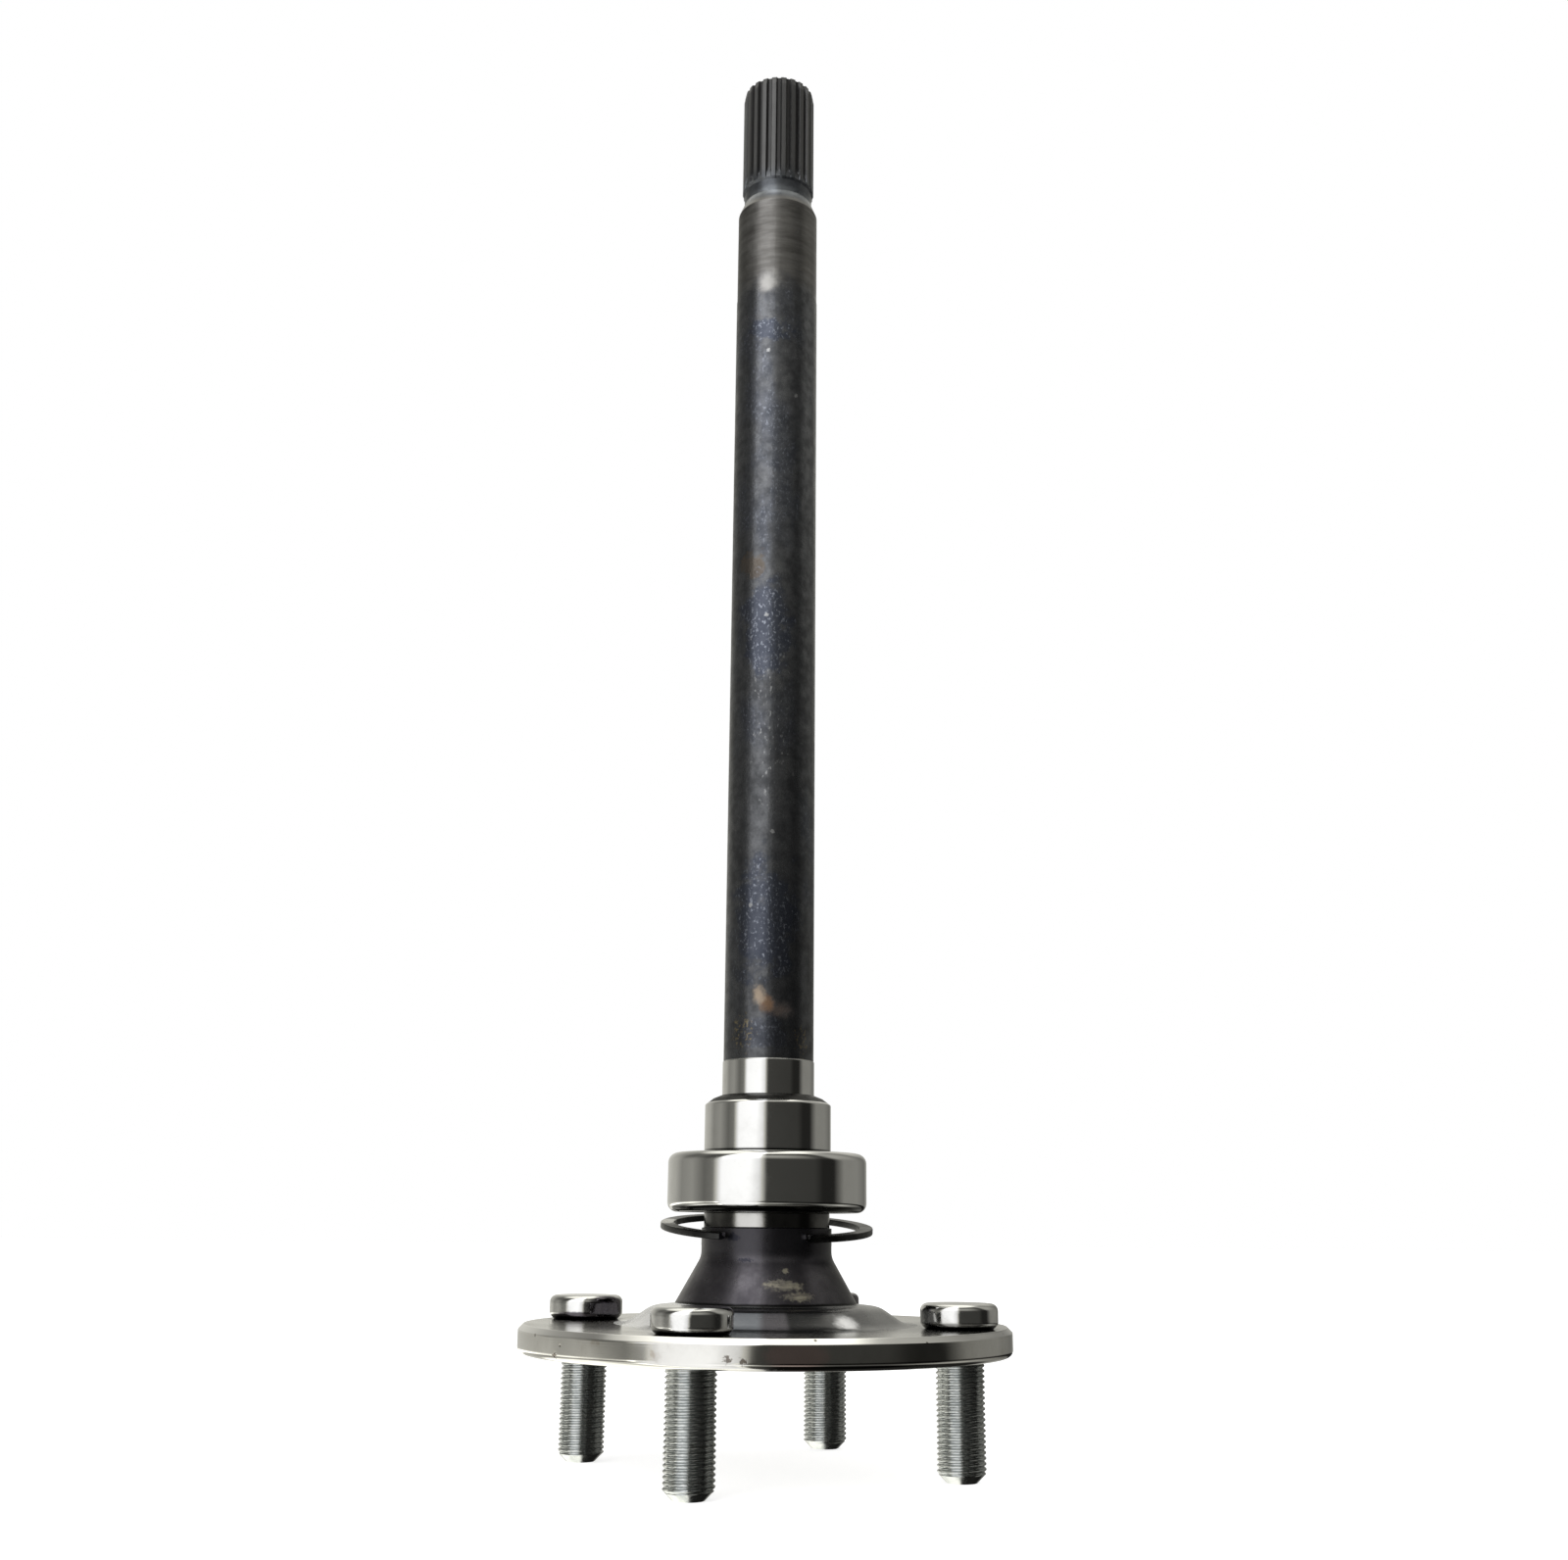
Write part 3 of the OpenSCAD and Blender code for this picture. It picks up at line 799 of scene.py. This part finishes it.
def cloudy(name, size, colours, roughness, depth, metallic=1.0, grain=None):
    """A plain finish that is clouded between two colours and between two roughnesses."""
    finish = Finish(name, metallic)
    cloud = finish.noise(size, 5)
    finish.colour = finish.mix(finish.step(cloud, *CLOUD), *colours)
    relief = finish.noise(grain, 3) if grain else cloud
    return finish.done(finish.step(cloud, *CLOUD, *roughness), relief, depth)


def spline_angles():
    """Angles round the shaft that follow the flanks of every spline tooth."""
    floor_edge = math.atan(spline_floor_w / 2 / spline_floor_r)
    crest_edge = spline_flank - math.asin(spline_sunk * math.cos(spline_flank) / spline_r)
    half = [floor_edge, (floor_edge + crest_edge) / 2, crest_edge, (crest_edge + spline_pitch / 2) / 2]
    tooth = [0, *half, spline_pitch / 2, *[spline_pitch - angle for angle in reversed(half)]]
    return [math.pi / 2 + index * spline_pitch + angle for index in range(spline_teeth) for angle in tooth]


def spline_reach(angle, r, z):
    """Radius of the shaft where the spline grooves cut it. The grooves run out at their lower end."""
    if z < spline_z or r < spline_floor_r:
        return r
    off = abs((angle - math.pi / 2 + spline_pitch / 2) % spline_pitch - spline_pitch / 2)
    climb = max(0.0, (spline_z + spline_runout - z) / spline_runout)
    floor = spline_floor_r + (spline_r - spline_floor_r) * climb
    flank = spline_sunk / (math.cos(off) * math.tan(spline_flank) - math.sin(off))
    return min(r, max(floor / math.cos(off), flank))


def rows(low, high, step):
    """Heights from low to high, about step apart, without the two ends."""
    count = max(1, round((high - low) / step))
    return [low + (high - low) * i / count for i in range(1, count)]


def shaft_corners():
    """Half section of the shaft, from the centre hole at its foot to the one at its tip."""
    turned = []
    for z in rows(turned_z, taper_z - 1, turning_pitch):
        turned.append((turned_r, z, 0))
        turned.append((turned_r - turning_depth, z + turning_pitch / 2, 0))
    runout_z = spline_z + spline_r - spline_neck_r
    runout_end = spline_z + spline_runout + runout_row
    runout = [(spline_r, z, 0) for z in rows(runout_z, runout_end, runout_row)]
    return [
        *zoned(
            "machined",
            (0, centre_depth, 0),
            (centre_pilot_r, centre_depth, 0),
            (centre_pilot_r, centre_cone, 0),
            (centre_r, wheel_face_z, EDGE),
            (flange_r, wheel_face_z, flange_round),
            (flange_r, flange_t - flange_edge, EDGE),
            (flange_r - flange_edge, flange_t, EDGE),
        ),
        *zoned(
            "boss",
            (boss_base_r + boss_blend / 2, flange_t, 0),
            (boss_base_r, flange_t, boss_blend),
            (boss_top_r, boss_z, boss_blend),
        ),
        *zoned(
            "forged",
            (cone_base_r, cone_foot_z, cone_foot_round),
            (neck_r, neck_z, neck_fillet),
            (neck_r, shoulder_z, EDGE),
        ),
        *zoned("shoulder", (shoulder_r, shoulder_z, EDGE)),
        *zoned(
            "ground",
            (shoulder_r, bearing_z, EDGE),
            (seat_r, bearing_z, 0),
            (seat_r, journal_z, EDGE),
            (journal_r, journal_z + seat_r - journal_r, 0),
            (journal_r, bar_z, EDGE),
        ),
        *zoned("scale", (bar_r, bar_z, EDGE), (bar_r, turned_z, 0), *turned),
        *zoned(
            "spline",
            (turned_r, taper_z, taper_round),
            (spline_neck_r, spline_neck_z, taper_round),
            (spline_neck_r, spline_z, 0),
            (spline_r, runout_z, 0),
            *runout,
            (spline_r, tip_z - lead_l, 0),
            (spline_r - lead_w, tip_z, tip_round),
            (spline_floor_r - tip_land, tip_z, 0),
            (centre_r, tip_z, EDGE),
            (centre_pilot_r, tip_z - centre_cone, 0),
            (centre_pilot_r, tip_z - centre_depth, 0),
            (0, tip_z - centre_depth, 0),
        ),
    ]


def stud_places():
    """The studs' places on the flange, in metres, with their angles."""
    for index in range(stud_count):
        angle = math.radians(stud_phase) + 2 * math.pi * index / stud_count
        yield Vector((math.cos(angle), math.sin(angle), 0)) * stud_circle_r * MM, angle


def drill(piece, cutters):
    """Takes the cutters' shapes out of the piece."""
    for cutter in cutters:
        change = piece.modifiers.new(cutter.name, "BOOLEAN")
        change.operation = "DIFFERENCE"
        change.solver = "EXACT"
        change.object = cutter
    graph = bpy.context.evaluated_depsgraph_get()
    drilled = bpy.data.meshes.new_from_object(piece.evaluated_get(graph))
    piece.modifiers.clear()
    piece.data = drilled
    for cutter in cutters:
        bpy.data.objects.remove(cutter)
    smooth(piece)


def make_shaft(finishes):
    piece = spin("shaft_body", shaft_corners(), finishes, angles=spline_angles(), reach=spline_reach)
    low = wheel_face_z - hole_past
    high = flange_t + hole_past
    hole = zoned("machined", (0, low, 0), (stud_shank_r, low, 0), (stud_shank_r, high, 0), (0, high, 0))
    cutters = []
    for place, _angle in stud_places():
        cutter = spin("stud_hole", hole, finishes, angles=even_angles(STUD_SEGMENTS))
        cutter.data.transform(Matrix.Translation(place))
        cutters.append(cutter)
    drill(piece, cutters)
    belongs(piece, "axle_shaft", "axle")


def thread_reach(angle, r, z):
    """Radius of the stud where its thread cuts it. The thread fades out below the flange."""
    if z > wheel_face_z or r > stud_r:
        return r
    turn = ((z - stud_tip_z) / thread_pitch - angle / (2 * math.pi)) % 1
    away = abs(turn - 0.5) * 2
    sunk = min(1.0, max(0.0, (away - thread_crest) / (thread_root - thread_crest)))
    fade = min(1.0, (wheel_face_z - z) / thread_fade)
    return min(r, stud_r - thread_depth * sunk * fade)


def make_studs(finishes):
    thread = rows(stud_tip_z + stud_tip_chamfer, wheel_face_z, thread_row)
    chamfer = rows(stud_tip_z, stud_tip_z + stud_tip_chamfer, thread_row)
    corners = [
        *zoned(
            "zinc",
            (0, stud_tip_z, 0),
            (stud_r - stud_tip_chamfer, stud_tip_z, 0),
            *[(stud_r - stud_tip_chamfer + z - stud_tip_z, z, 0) for z in chamfer],
            (stud_r, stud_tip_z + stud_tip_chamfer, 0),
            *[(stud_r, z, 0) for z in thread],
            (stud_r, wheel_face_z, 0),
            (stud_shank_r, wheel_face_z, 0),
            (stud_shank_r, flange_t, 0),
        ),
        *zoned(
            "head",
            (stud_head_r - stud_head_chamfer, flange_t, 0),
            (stud_head_r, flange_t + stud_head_chamfer, stud_head_chamfer),
            (stud_head_r, stud_head_z, stud_head_round),
            (0, stud_head_z, 0),
        ),
    ]
    for index, (place, angle) in enumerate(stud_places()):
        piece = spin(f"wheel_stud_{index + 1}", corners, finishes, angles=even_angles(STUD_SEGMENTS),
                     reach=thread_reach)
        turn = Matrix.Rotation(angle + index, 4, "Z")
        piece.data.transform(Matrix.Translation(place) @ turn)
        belongs(piece, "wheel_studs", "axle")


def make_outer_ring(finishes):
    """The bearing's outer ring, with its ball groove and the two seats of the seals."""
    groove = []
    for z in rows(race_mid_z - race_half_w, race_mid_z + race_half_w, race_row):
        sag = math.sqrt(race_r ** 2 - (z - race_mid_z) ** 2) - math.sqrt(race_r ** 2 - race_half_w ** 2)
        groove.append((outer_land_r + sag, z, 0))
    corners = zoned(
        "ground",
        (seal_r, bearing_z, EDGE),
        (bearing_r, bearing_z, bearing_round),
        (bearing_r, bearing_top_z, bearing_round),
        (seal_r, bearing_top_z, EDGE),
        (seal_r, upper_seal_z, 0),
        (outer_land_r, upper_seal_z, 0),
        (outer_land_r, race_mid_z + race_half_w, 0),
        *reversed(groove),
        (outer_land_r, race_mid_z - race_half_w, 0),
        (outer_land_r, seal_top_z, 0),
        (seal_r, seal_top_z, 0),
    )
    piece = spin("bearing_outer", corners, finishes, closed=True)
    belongs(piece, "bearing_outer_ring", "bearing_outer")


def make_seals(finishes):
    """The two rubber seals, each with a moulded groove in its outer face."""
    groove_in_r = seal_inner_r + seal_inner_land
    groove_out_r = seal_r - seal_outer_land
    thick = seal_top_z - seal_z
    for name, inside_z, outward in (("lower", seal_top_z, -1), ("upper", upper_seal_z, 1)):
        face_z = inside_z + outward * thick
        sunk_z = face_z - outward * seal_groove
        corners = zoned(
            "rubber",
            (seal_inner_r, inside_z, 0),
            (seal_r, inside_z, 0),
            (seal_r, face_z, EDGE),
            (groove_out_r, face_z, EDGE),
            (groove_out_r - seal_groove, sunk_z, EDGE),
            (groove_in_r + seal_groove, sunk_z, EDGE),
            (groove_in_r, face_z, EDGE),
            (seal_inner_r, face_z, EDGE),
        )
        piece = spin(f"seal_{name}", corners, finishes, closed=True)
        belongs(piece, f"bearing_seal_{name}", "bearing_outer")


def make_collar(finishes):
    rim_r = collar_r - collar_chamfer_w
    rim_z = collar_top_z - collar_cone_h
    dark_r = rim_r + collar_dark_share * collar_chamfer_w
    dark_z = rim_z - collar_dark_share * collar_chamfer_h
    corners = [
        # The collar's underside and foot rounding take the dark cap finish, a painted shadow line where it
        # sits on the bearing
        (seat_r, collar_z, EDGE, "cap"),
        (collar_r, collar_z, collar_foot_round, "ground"),
        (collar_r, rim_z - collar_chamfer_h, collar_round, "ground"),
        (dark_r, dark_z, 0, "cap"),
        (rim_r, rim_z, collar_round, "cap"),
        (seat_r, collar_top_z, 0, "ground"),
    ]
    piece = spin("collar", corners, finishes, closed=True)
    belongs(piece, "retaining_collar", "axle")


def make_snap_ring(finishes):
    """The open ring: its two ends rest on the neck, so its middle lies behind the shaft's axis."""
    ring_outer_r = ring_inner_r + ring_w
    corners = zoned(
        "spring",
        (ring_inner_r, -ring_t / 2, ring_edge),
        (ring_outer_r, -ring_t / 2, ring_edge),
        (ring_outer_r, ring_t / 2, ring_edge),
        (ring_inner_r, ring_t / 2, ring_edge),
    )
    first = math.radians(ring_gap - 90)
    sweep = math.radians(360 - 2 * ring_gap)
    angles = [first + sweep * i / SEGMENTS for i in range(SEGMENTS + 1)]
    piece = spin("spring_ring", corners, finishes, closed=True, angles=angles, full_turn=False)
    gap = math.radians(ring_gap)
    end_x = ring_inner_r * math.sin(gap)
    end_y = ring_inner_r * math.cos(gap) * math.cos(math.radians(ring_tilt))
    back = end_y - math.sqrt(ring_rest_r ** 2 - end_x ** 2)
    tilt = Euler((math.radians(ring_tilt), math.radians(ring_lean), 0)).to_matrix().to_4x4()
    piece.data.transform(Matrix.Translation((0, back * MM, ring_z * MM)) @ tilt)
    belongs(piece, "snap_ring", "loose_ring")


def dress_nodes(finish, *nodes):
    """Gives CAD nodes that stay as they are a procedural material."""
    for node in nodes:
        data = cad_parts[node].data
        data.materials.clear()
        data.materials.append(finish)


# Stage, in metres
FLOOR_HALF = 6.0
FLOOR_COLOUR = (0.62, 0.62, 0.62)
FLOOR_GLOW = 0.76
WORLD_FILL = 0.75

# A tent round the object shows only in reflections. Its section: distance from the axis, and height
TENT_SECTION = [(0.0, -1.2), (1.2, -1.2), (1.2, 1.0), (0.85, 1.6), (0.0, 1.9)]
TENT_COLUMNS = 90
# How bright the tent is by the angle in degrees from the camera towards its right
TENT_LEVELS = [
    (-180, 0.7), (-130, 0.5), (-115, 0.3), (-95, 0.36), (-76, 0.16), (-64, 0.22),
    (-53, 1.4), (-20, 1.5), (-9, 1.1), (-1, 0.06), (55, 0.05), (66, 0.02),
    (82, 0.02), (98, 0.28), (125, 0.28), (150, 0.17), (180, 0.6),
]
TENT_MOST = 1.5
# The main panel is white. Between these levels it gives way to the tinted sides
TENT_TINT = (1.0, 0.985, 0.9)
PANEL_EDGE = (1.0, 0.7)

# Heights that the pieces mirror to the camera, as soft edges: where each starts and where it ends
HIGH_EDGE = (0.2, 0.8)
LOW_EDGE = (0.02, -0.18)
STUDS_EDGE = (-0.085, -0.14)
RIM_EDGES = ((-0.05, -0.065), (-0.13, -0.105))
# Heights that only views from above see, where the gains of the low heights don't hold
UNSEEN_EDGES = ((-0.2, -0.3), (-0.7, -0.5))

# Shifts of the levels in degrees, and the angles between which each comes in
# Low down the main panel ends sooner on its right
LOW_SHIFT = 7
LOW_SHIFT_EDGES = ((-55, -25), (45, 15))
# For the rim the main panel and the right side both start later
RIM_PANEL_SHIFT = -12
RIM_PANEL_EDGE = (-25, -62)
RIM_RIGHT_SHIFT = -4
RIM_RIGHT_EDGE = (55, 70)
# High up the right side is drawn in, by a share of its angle
HIGH_RIGHT_SHIFT = 0.12

# Gains of the left side: brighter low down, more so for the studs, and darker high up
LOW_LEFT_GAIN = 1.3
STUDS_LEFT_GAIN = 3.6
HIGH_LEFT_GAIN = -0.55
# Levels that dim the right side for the studs and the far left for the rim, and where each comes in
STUDS_RIGHT_LEVEL = 0.08
STUDS_RIGHT_EDGE = (-5, 10)
RIM_LEFT_LEVEL = 0.75
RIM_LEFT_EDGE = (-100, -130)
# High up the main panel is brighter, and it fades out softly on its right
HIGH_PANEL_GAIN = 0.35
PANEL_FADE_LEVEL = 0.36
PANEL_FADE_EDGES = ((85, 5), (-20, 0))
PANEL_FADE_TOP = (1.45, 1.25)
# Views from above see four soft waves of light deep down
DEEP_LEVEL = 0.35
DEEP_LEAST = 0.15
DEEP_WAVES = 4.0
DEEP_EDGES = ((-0.32, -0.42), (-0.8, -0.6))
# A round panel hangs overhead: its middle, the radii of its soft edge, and the heights where it starts
OVERHEAD_LEVEL = 1.2
OVERHEAD_MIDDLE = (-0.1, 0.2)
OVERHEAD_EDGE = (1.0, 0.65)
OVERHEAD_START = (1.1, 1.3)

# Each lamp: name, angle, elevation, distance, size, power
LAMPS = [
    ("key", -38, 42, 1.3, 0.9, 9.0),
    ("fill", 120, 50, 1.6, 1.2, 5.0),
]


def seen_ray(tree):
    """1 for rays that show the background: straight, in a reflection or through glass."""
    path = tree.nodes.new("ShaderNodeLightPath")
    seen = path.outputs["Is Camera Ray"]
    for kind in ("Is Glossy Ray", "Is Transmission Ray"):
        either = tree.nodes.new("ShaderNodeMath")
        either.operation = "MAXIMUM"
        tree.links.new(seen, either.inputs[0])
        tree.links.new(path.outputs[kind], either.inputs[1])
        seen = either.outputs[0]
    return seen


def make_floor():
    """A white floor. Its glow shows to the camera alone and lights nothing."""
    white = Finish("floor_white", 0.0)
    white.join(FLOOR_COLOUR, white.shader.inputs["Base Color"])
    white.join(0.0, white.shader.inputs["Specular IOR Level"])
    white.join(white.times(seen_ray(white.tree), FLOOR_GLOW), white.shader.inputs["Emission Strength"])
    data = bpy.data.meshes.new("floor")
    sides = ((-1, -1), (1, -1), (1, 1), (-1, 1))
    corners = [(x * FLOOR_HALF, y * FLOOR_HALF, stud_tip_z * MM) for x, y in sides]
    data.from_pydata(corners, [], [(0, 1, 2, 3)])
    data.materials.append(white.material)
    floor = put("floor", data)
    floor.visible_glossy = False


def tent_shift(glow, turn, low, high, at_rim):
    """Degrees by which the tent's levels are shifted."""
    low_panel = glow.times(low, glow.between(turn, *LOW_SHIFT_EDGES), LOW_SHIFT)
    rim_panel = glow.times(glow.step(turn, *RIM_PANEL_EDGE), RIM_PANEL_SHIFT)
    rim_right = glow.times(glow.step(turn, *RIM_RIGHT_EDGE), RIM_RIGHT_SHIFT)
    far_right = glow.times(high, glow.either(turn, 0.0), HIGH_RIGHT_SHIFT)
    return glow.add(low_panel, glow.times(at_rim, glow.add(rim_panel, rim_right)), far_right)


def tent_level(glow, turn):
    """The tent's brightness by the angle round the object."""
    ramp = glow.node("ShaderNodeValToRGB")
    glow.join(glow.add(glow.times(turn, 1 / 360), 0.5), ramp.inputs["Fac"])
    stops = ramp.color_ramp.elements
    for angle, level in TENT_LEVELS:
        at_end = abs(angle) == 180
        stop = stops[0 if angle < 0 else -1] if at_end else stops.new(angle / 360 + 0.5)
        stop.color = (*[level / TENT_MOST] * 3, 1)
    return glow.times(ramp.outputs["Color"], TENT_MOST)


def tent_overhead(glow):
    """The share of the round panel overhead."""
    aside = glow.add(glow.x, -OVERHEAD_MIDDLE[0])
    behind = glow.add(glow.y, -OVERHEAD_MIDDLE[1])
    away = glow.maths("SQRT", glow.add(glow.times(aside, aside), glow.times(behind, behind)))
    return glow.times(glow.step(away, *OVERHEAD_EDGE), glow.step(glow.z, *OVERHEAD_START))


def make_tent():
    """Soft light panels all round, as one surface that only shows in reflections."""
    glow = Finish("tent", 0.0)
    turn = glow.turn()
    in_photo = glow.fading(glow.between(glow.z, *UNSEEN_EDGES), 0.0)
    low = glow.times(glow.step(glow.z, *LOW_EDGE), in_photo)
    studs = glow.times(glow.step(glow.z, *STUDS_EDGE), in_photo)
    high = glow.step(glow.z, *HIGH_EDGE)
    at_rim = glow.between(glow.z, *RIM_EDGES)
    level = tent_level(glow, glow.add(turn, tent_shift(glow, turn, low, high, at_rim)))
    plain = glow.step(level, *PANEL_EDGE)

    left = glow.times(glow.maths("SINE", glow.maths("RADIANS", turn)), -1.0)
    low_gain = glow.add(glow.times(low, LOW_LEFT_GAIN), glow.times(studs, STUDS_LEFT_GAIN))
    sides = glow.add(glow.times(low_gain, glow.either(left, 0.0)), glow.times(high, HIGH_LEFT_GAIN, left))
    panel = glow.times(high, HIGH_PANEL_GAIN)
    gain = glow.add(panel, glow.times(plain, glow.maths("SUBTRACT", sides, panel)), 1.0)
    studs_right = glow.times(studs, glow.step(turn, *STUDS_RIGHT_EDGE))
    rim_left = glow.times(at_rim, glow.step(turn, *RIM_LEFT_EDGE))
    dimmed = glow.times(glow.fading(studs_right, STUDS_RIGHT_LEVEL), glow.fading(rim_left, RIM_LEFT_LEVEL))

    panel_fade = glow.times(glow.between(turn, *PANEL_FADE_EDGES), high, glow.step(glow.z, *PANEL_FADE_TOP))
    wave = glow.maths("COSINE", glow.maths("RADIANS", glow.times(turn, DEEP_WAVES)))
    deep = glow.times(glow.between(glow.z, *DEEP_EDGES), glow.step(wave, -1.0, 1.0, DEEP_LEAST, 1.0))
    strength = glow.add(
        glow.times(level, gain, dimmed),
        glow.times(tent_overhead(glow), OVERHEAD_LEVEL),
        glow.times(panel_fade, PANEL_FADE_LEVEL),
        glow.times(deep, DEEP_LEVEL),
    )
    glow.join(glow.mix(plain, (1.0, 1.0, 1.0), TENT_TINT), glow.shader.inputs["Emission Color"])
    glow.join(strength, glow.shader.inputs["Emission Strength"])
    glow.join(0.0, glow.shader.inputs["Specular IOR Level"])
    glow.join((0.0, 0.0, 0.0), glow.shader.inputs["Base Color"])
    corners = zoned("tent", *[(distance / MM, height / MM, 0) for distance, height in TENT_SECTION])
    tent = spin("tent", corners, {"tent": glow.material}, angles=even_angles(TENT_COLUMNS))
    for ray in ("camera", "diffuse", "transmission", "shadow"):
        setattr(tent, f"visible_{ray}", False)


def make_lamp(name, angle, elevation, distance, size, power):
    data = bpy.data.lights.new(name, "AREA")
    data.size = size
    data.energy = power
    lamp = put(name, data)
    rise = math.radians(elevation)
    lamp.location = on_surface(distance * math.cos(rise), angle, distance * math.sin(rise))
    lamp.rotation_euler = (-lamp.location).to_track_quat("-Z", "Y").to_euler()
    lamp.visible_glossy = False


def make_world():
    world = bpy.data.worlds.new("studio")
    world.use_nodes = True
    tree = world.node_tree
    background = tree.nodes["Background"]
    background.inputs["Color"].default_value = (1, 1, 1, 1)
    level = tree.nodes.new("ShaderNodeMapRange")
    tree.links.new(seen_ray(tree), level.inputs["Value"])
    level.inputs["To Min"].default_value = WORLD_FILL
    tree.links.new(level.outputs[0], background.inputs["Strength"])
    bpy.context.scene.world = world


# Camera of the photograph: place in millimetres, angles in degrees
CAMERA_PLACE = (0.0, -454.76, 30.44)
CAMERA_TILT = 14.905
CAMERA_ROLL = 0.520
CAMERA_PAN = 0.435
CAMERA_LENS = 38.75
CAMERA_SENSOR = 36.0


def make_camera():
    data = bpy.data.cameras.new("camera")
    data.sensor_width = CAMERA_SENSOR
    data.sensor_fit = "HORIZONTAL"
    data.lens = CAMERA_LENS
    data.clip_start = 0.01
    camera = put("camera", data)
    pan = Matrix.Rotation(math.radians(-CAMERA_PAN), 4, "Z")
    tilt = Matrix.Rotation(math.radians(90 + CAMERA_TILT), 4, "X")
    roll = Matrix.Rotation(math.radians(CAMERA_ROLL), 4, "Z")
    camera.matrix_world = Matrix.Translation(Vector(CAMERA_PLACE) * MM) @ pan @ tilt @ roll
    bpy.context.scene.camera = camera


ground = ground_steel("ground_steel")
make_shaft({"machined": machined_steel(), "boss": boss_steel(), "forged": forged_black(), "ground": ground,
            "shoulder": shoulder_steel(), "scale": bar_skin(), "spline": spline_steel()})
make_studs({"zinc": zinc_steel(), "head": polished_steel()})
make_outer_ring({"ground": ground_steel("ring_steel", bearing_z + ring_shade_h)})
make_seals({"rubber": cloudy("seal_rubber", 5, SEAL_COLOURS, (0.6, 0.48), 0.02, metallic=0.0, grain=0.35)})
make_collar({"ground": ground_steel("collar_steel", collar_z + collar_shade_h),
             "cap": cloudy("cap_black", 3, CAP_COLOURS, (0.45, 0.35), 0.02)})
make_snap_ring({"spring": spring_black()})
dress_nodes(ground, "bearing_inner_ring", *[f"ball_{i}" for i in range(1, 10)])
pressed = cloudy("pressed_steel", 2.5, CAGE_COLOURS, (0.25, 0.38), 0.01)
dress_nodes(pressed, "cage_half_lower", "cage_half_upper", "cage_rivets")

make_floor()
make_tent()
for lamp in LAMPS:
    make_lamp(*lamp)
make_world()
make_camera()
bpy.context.scene.view_settings.view_transform = "Standard"
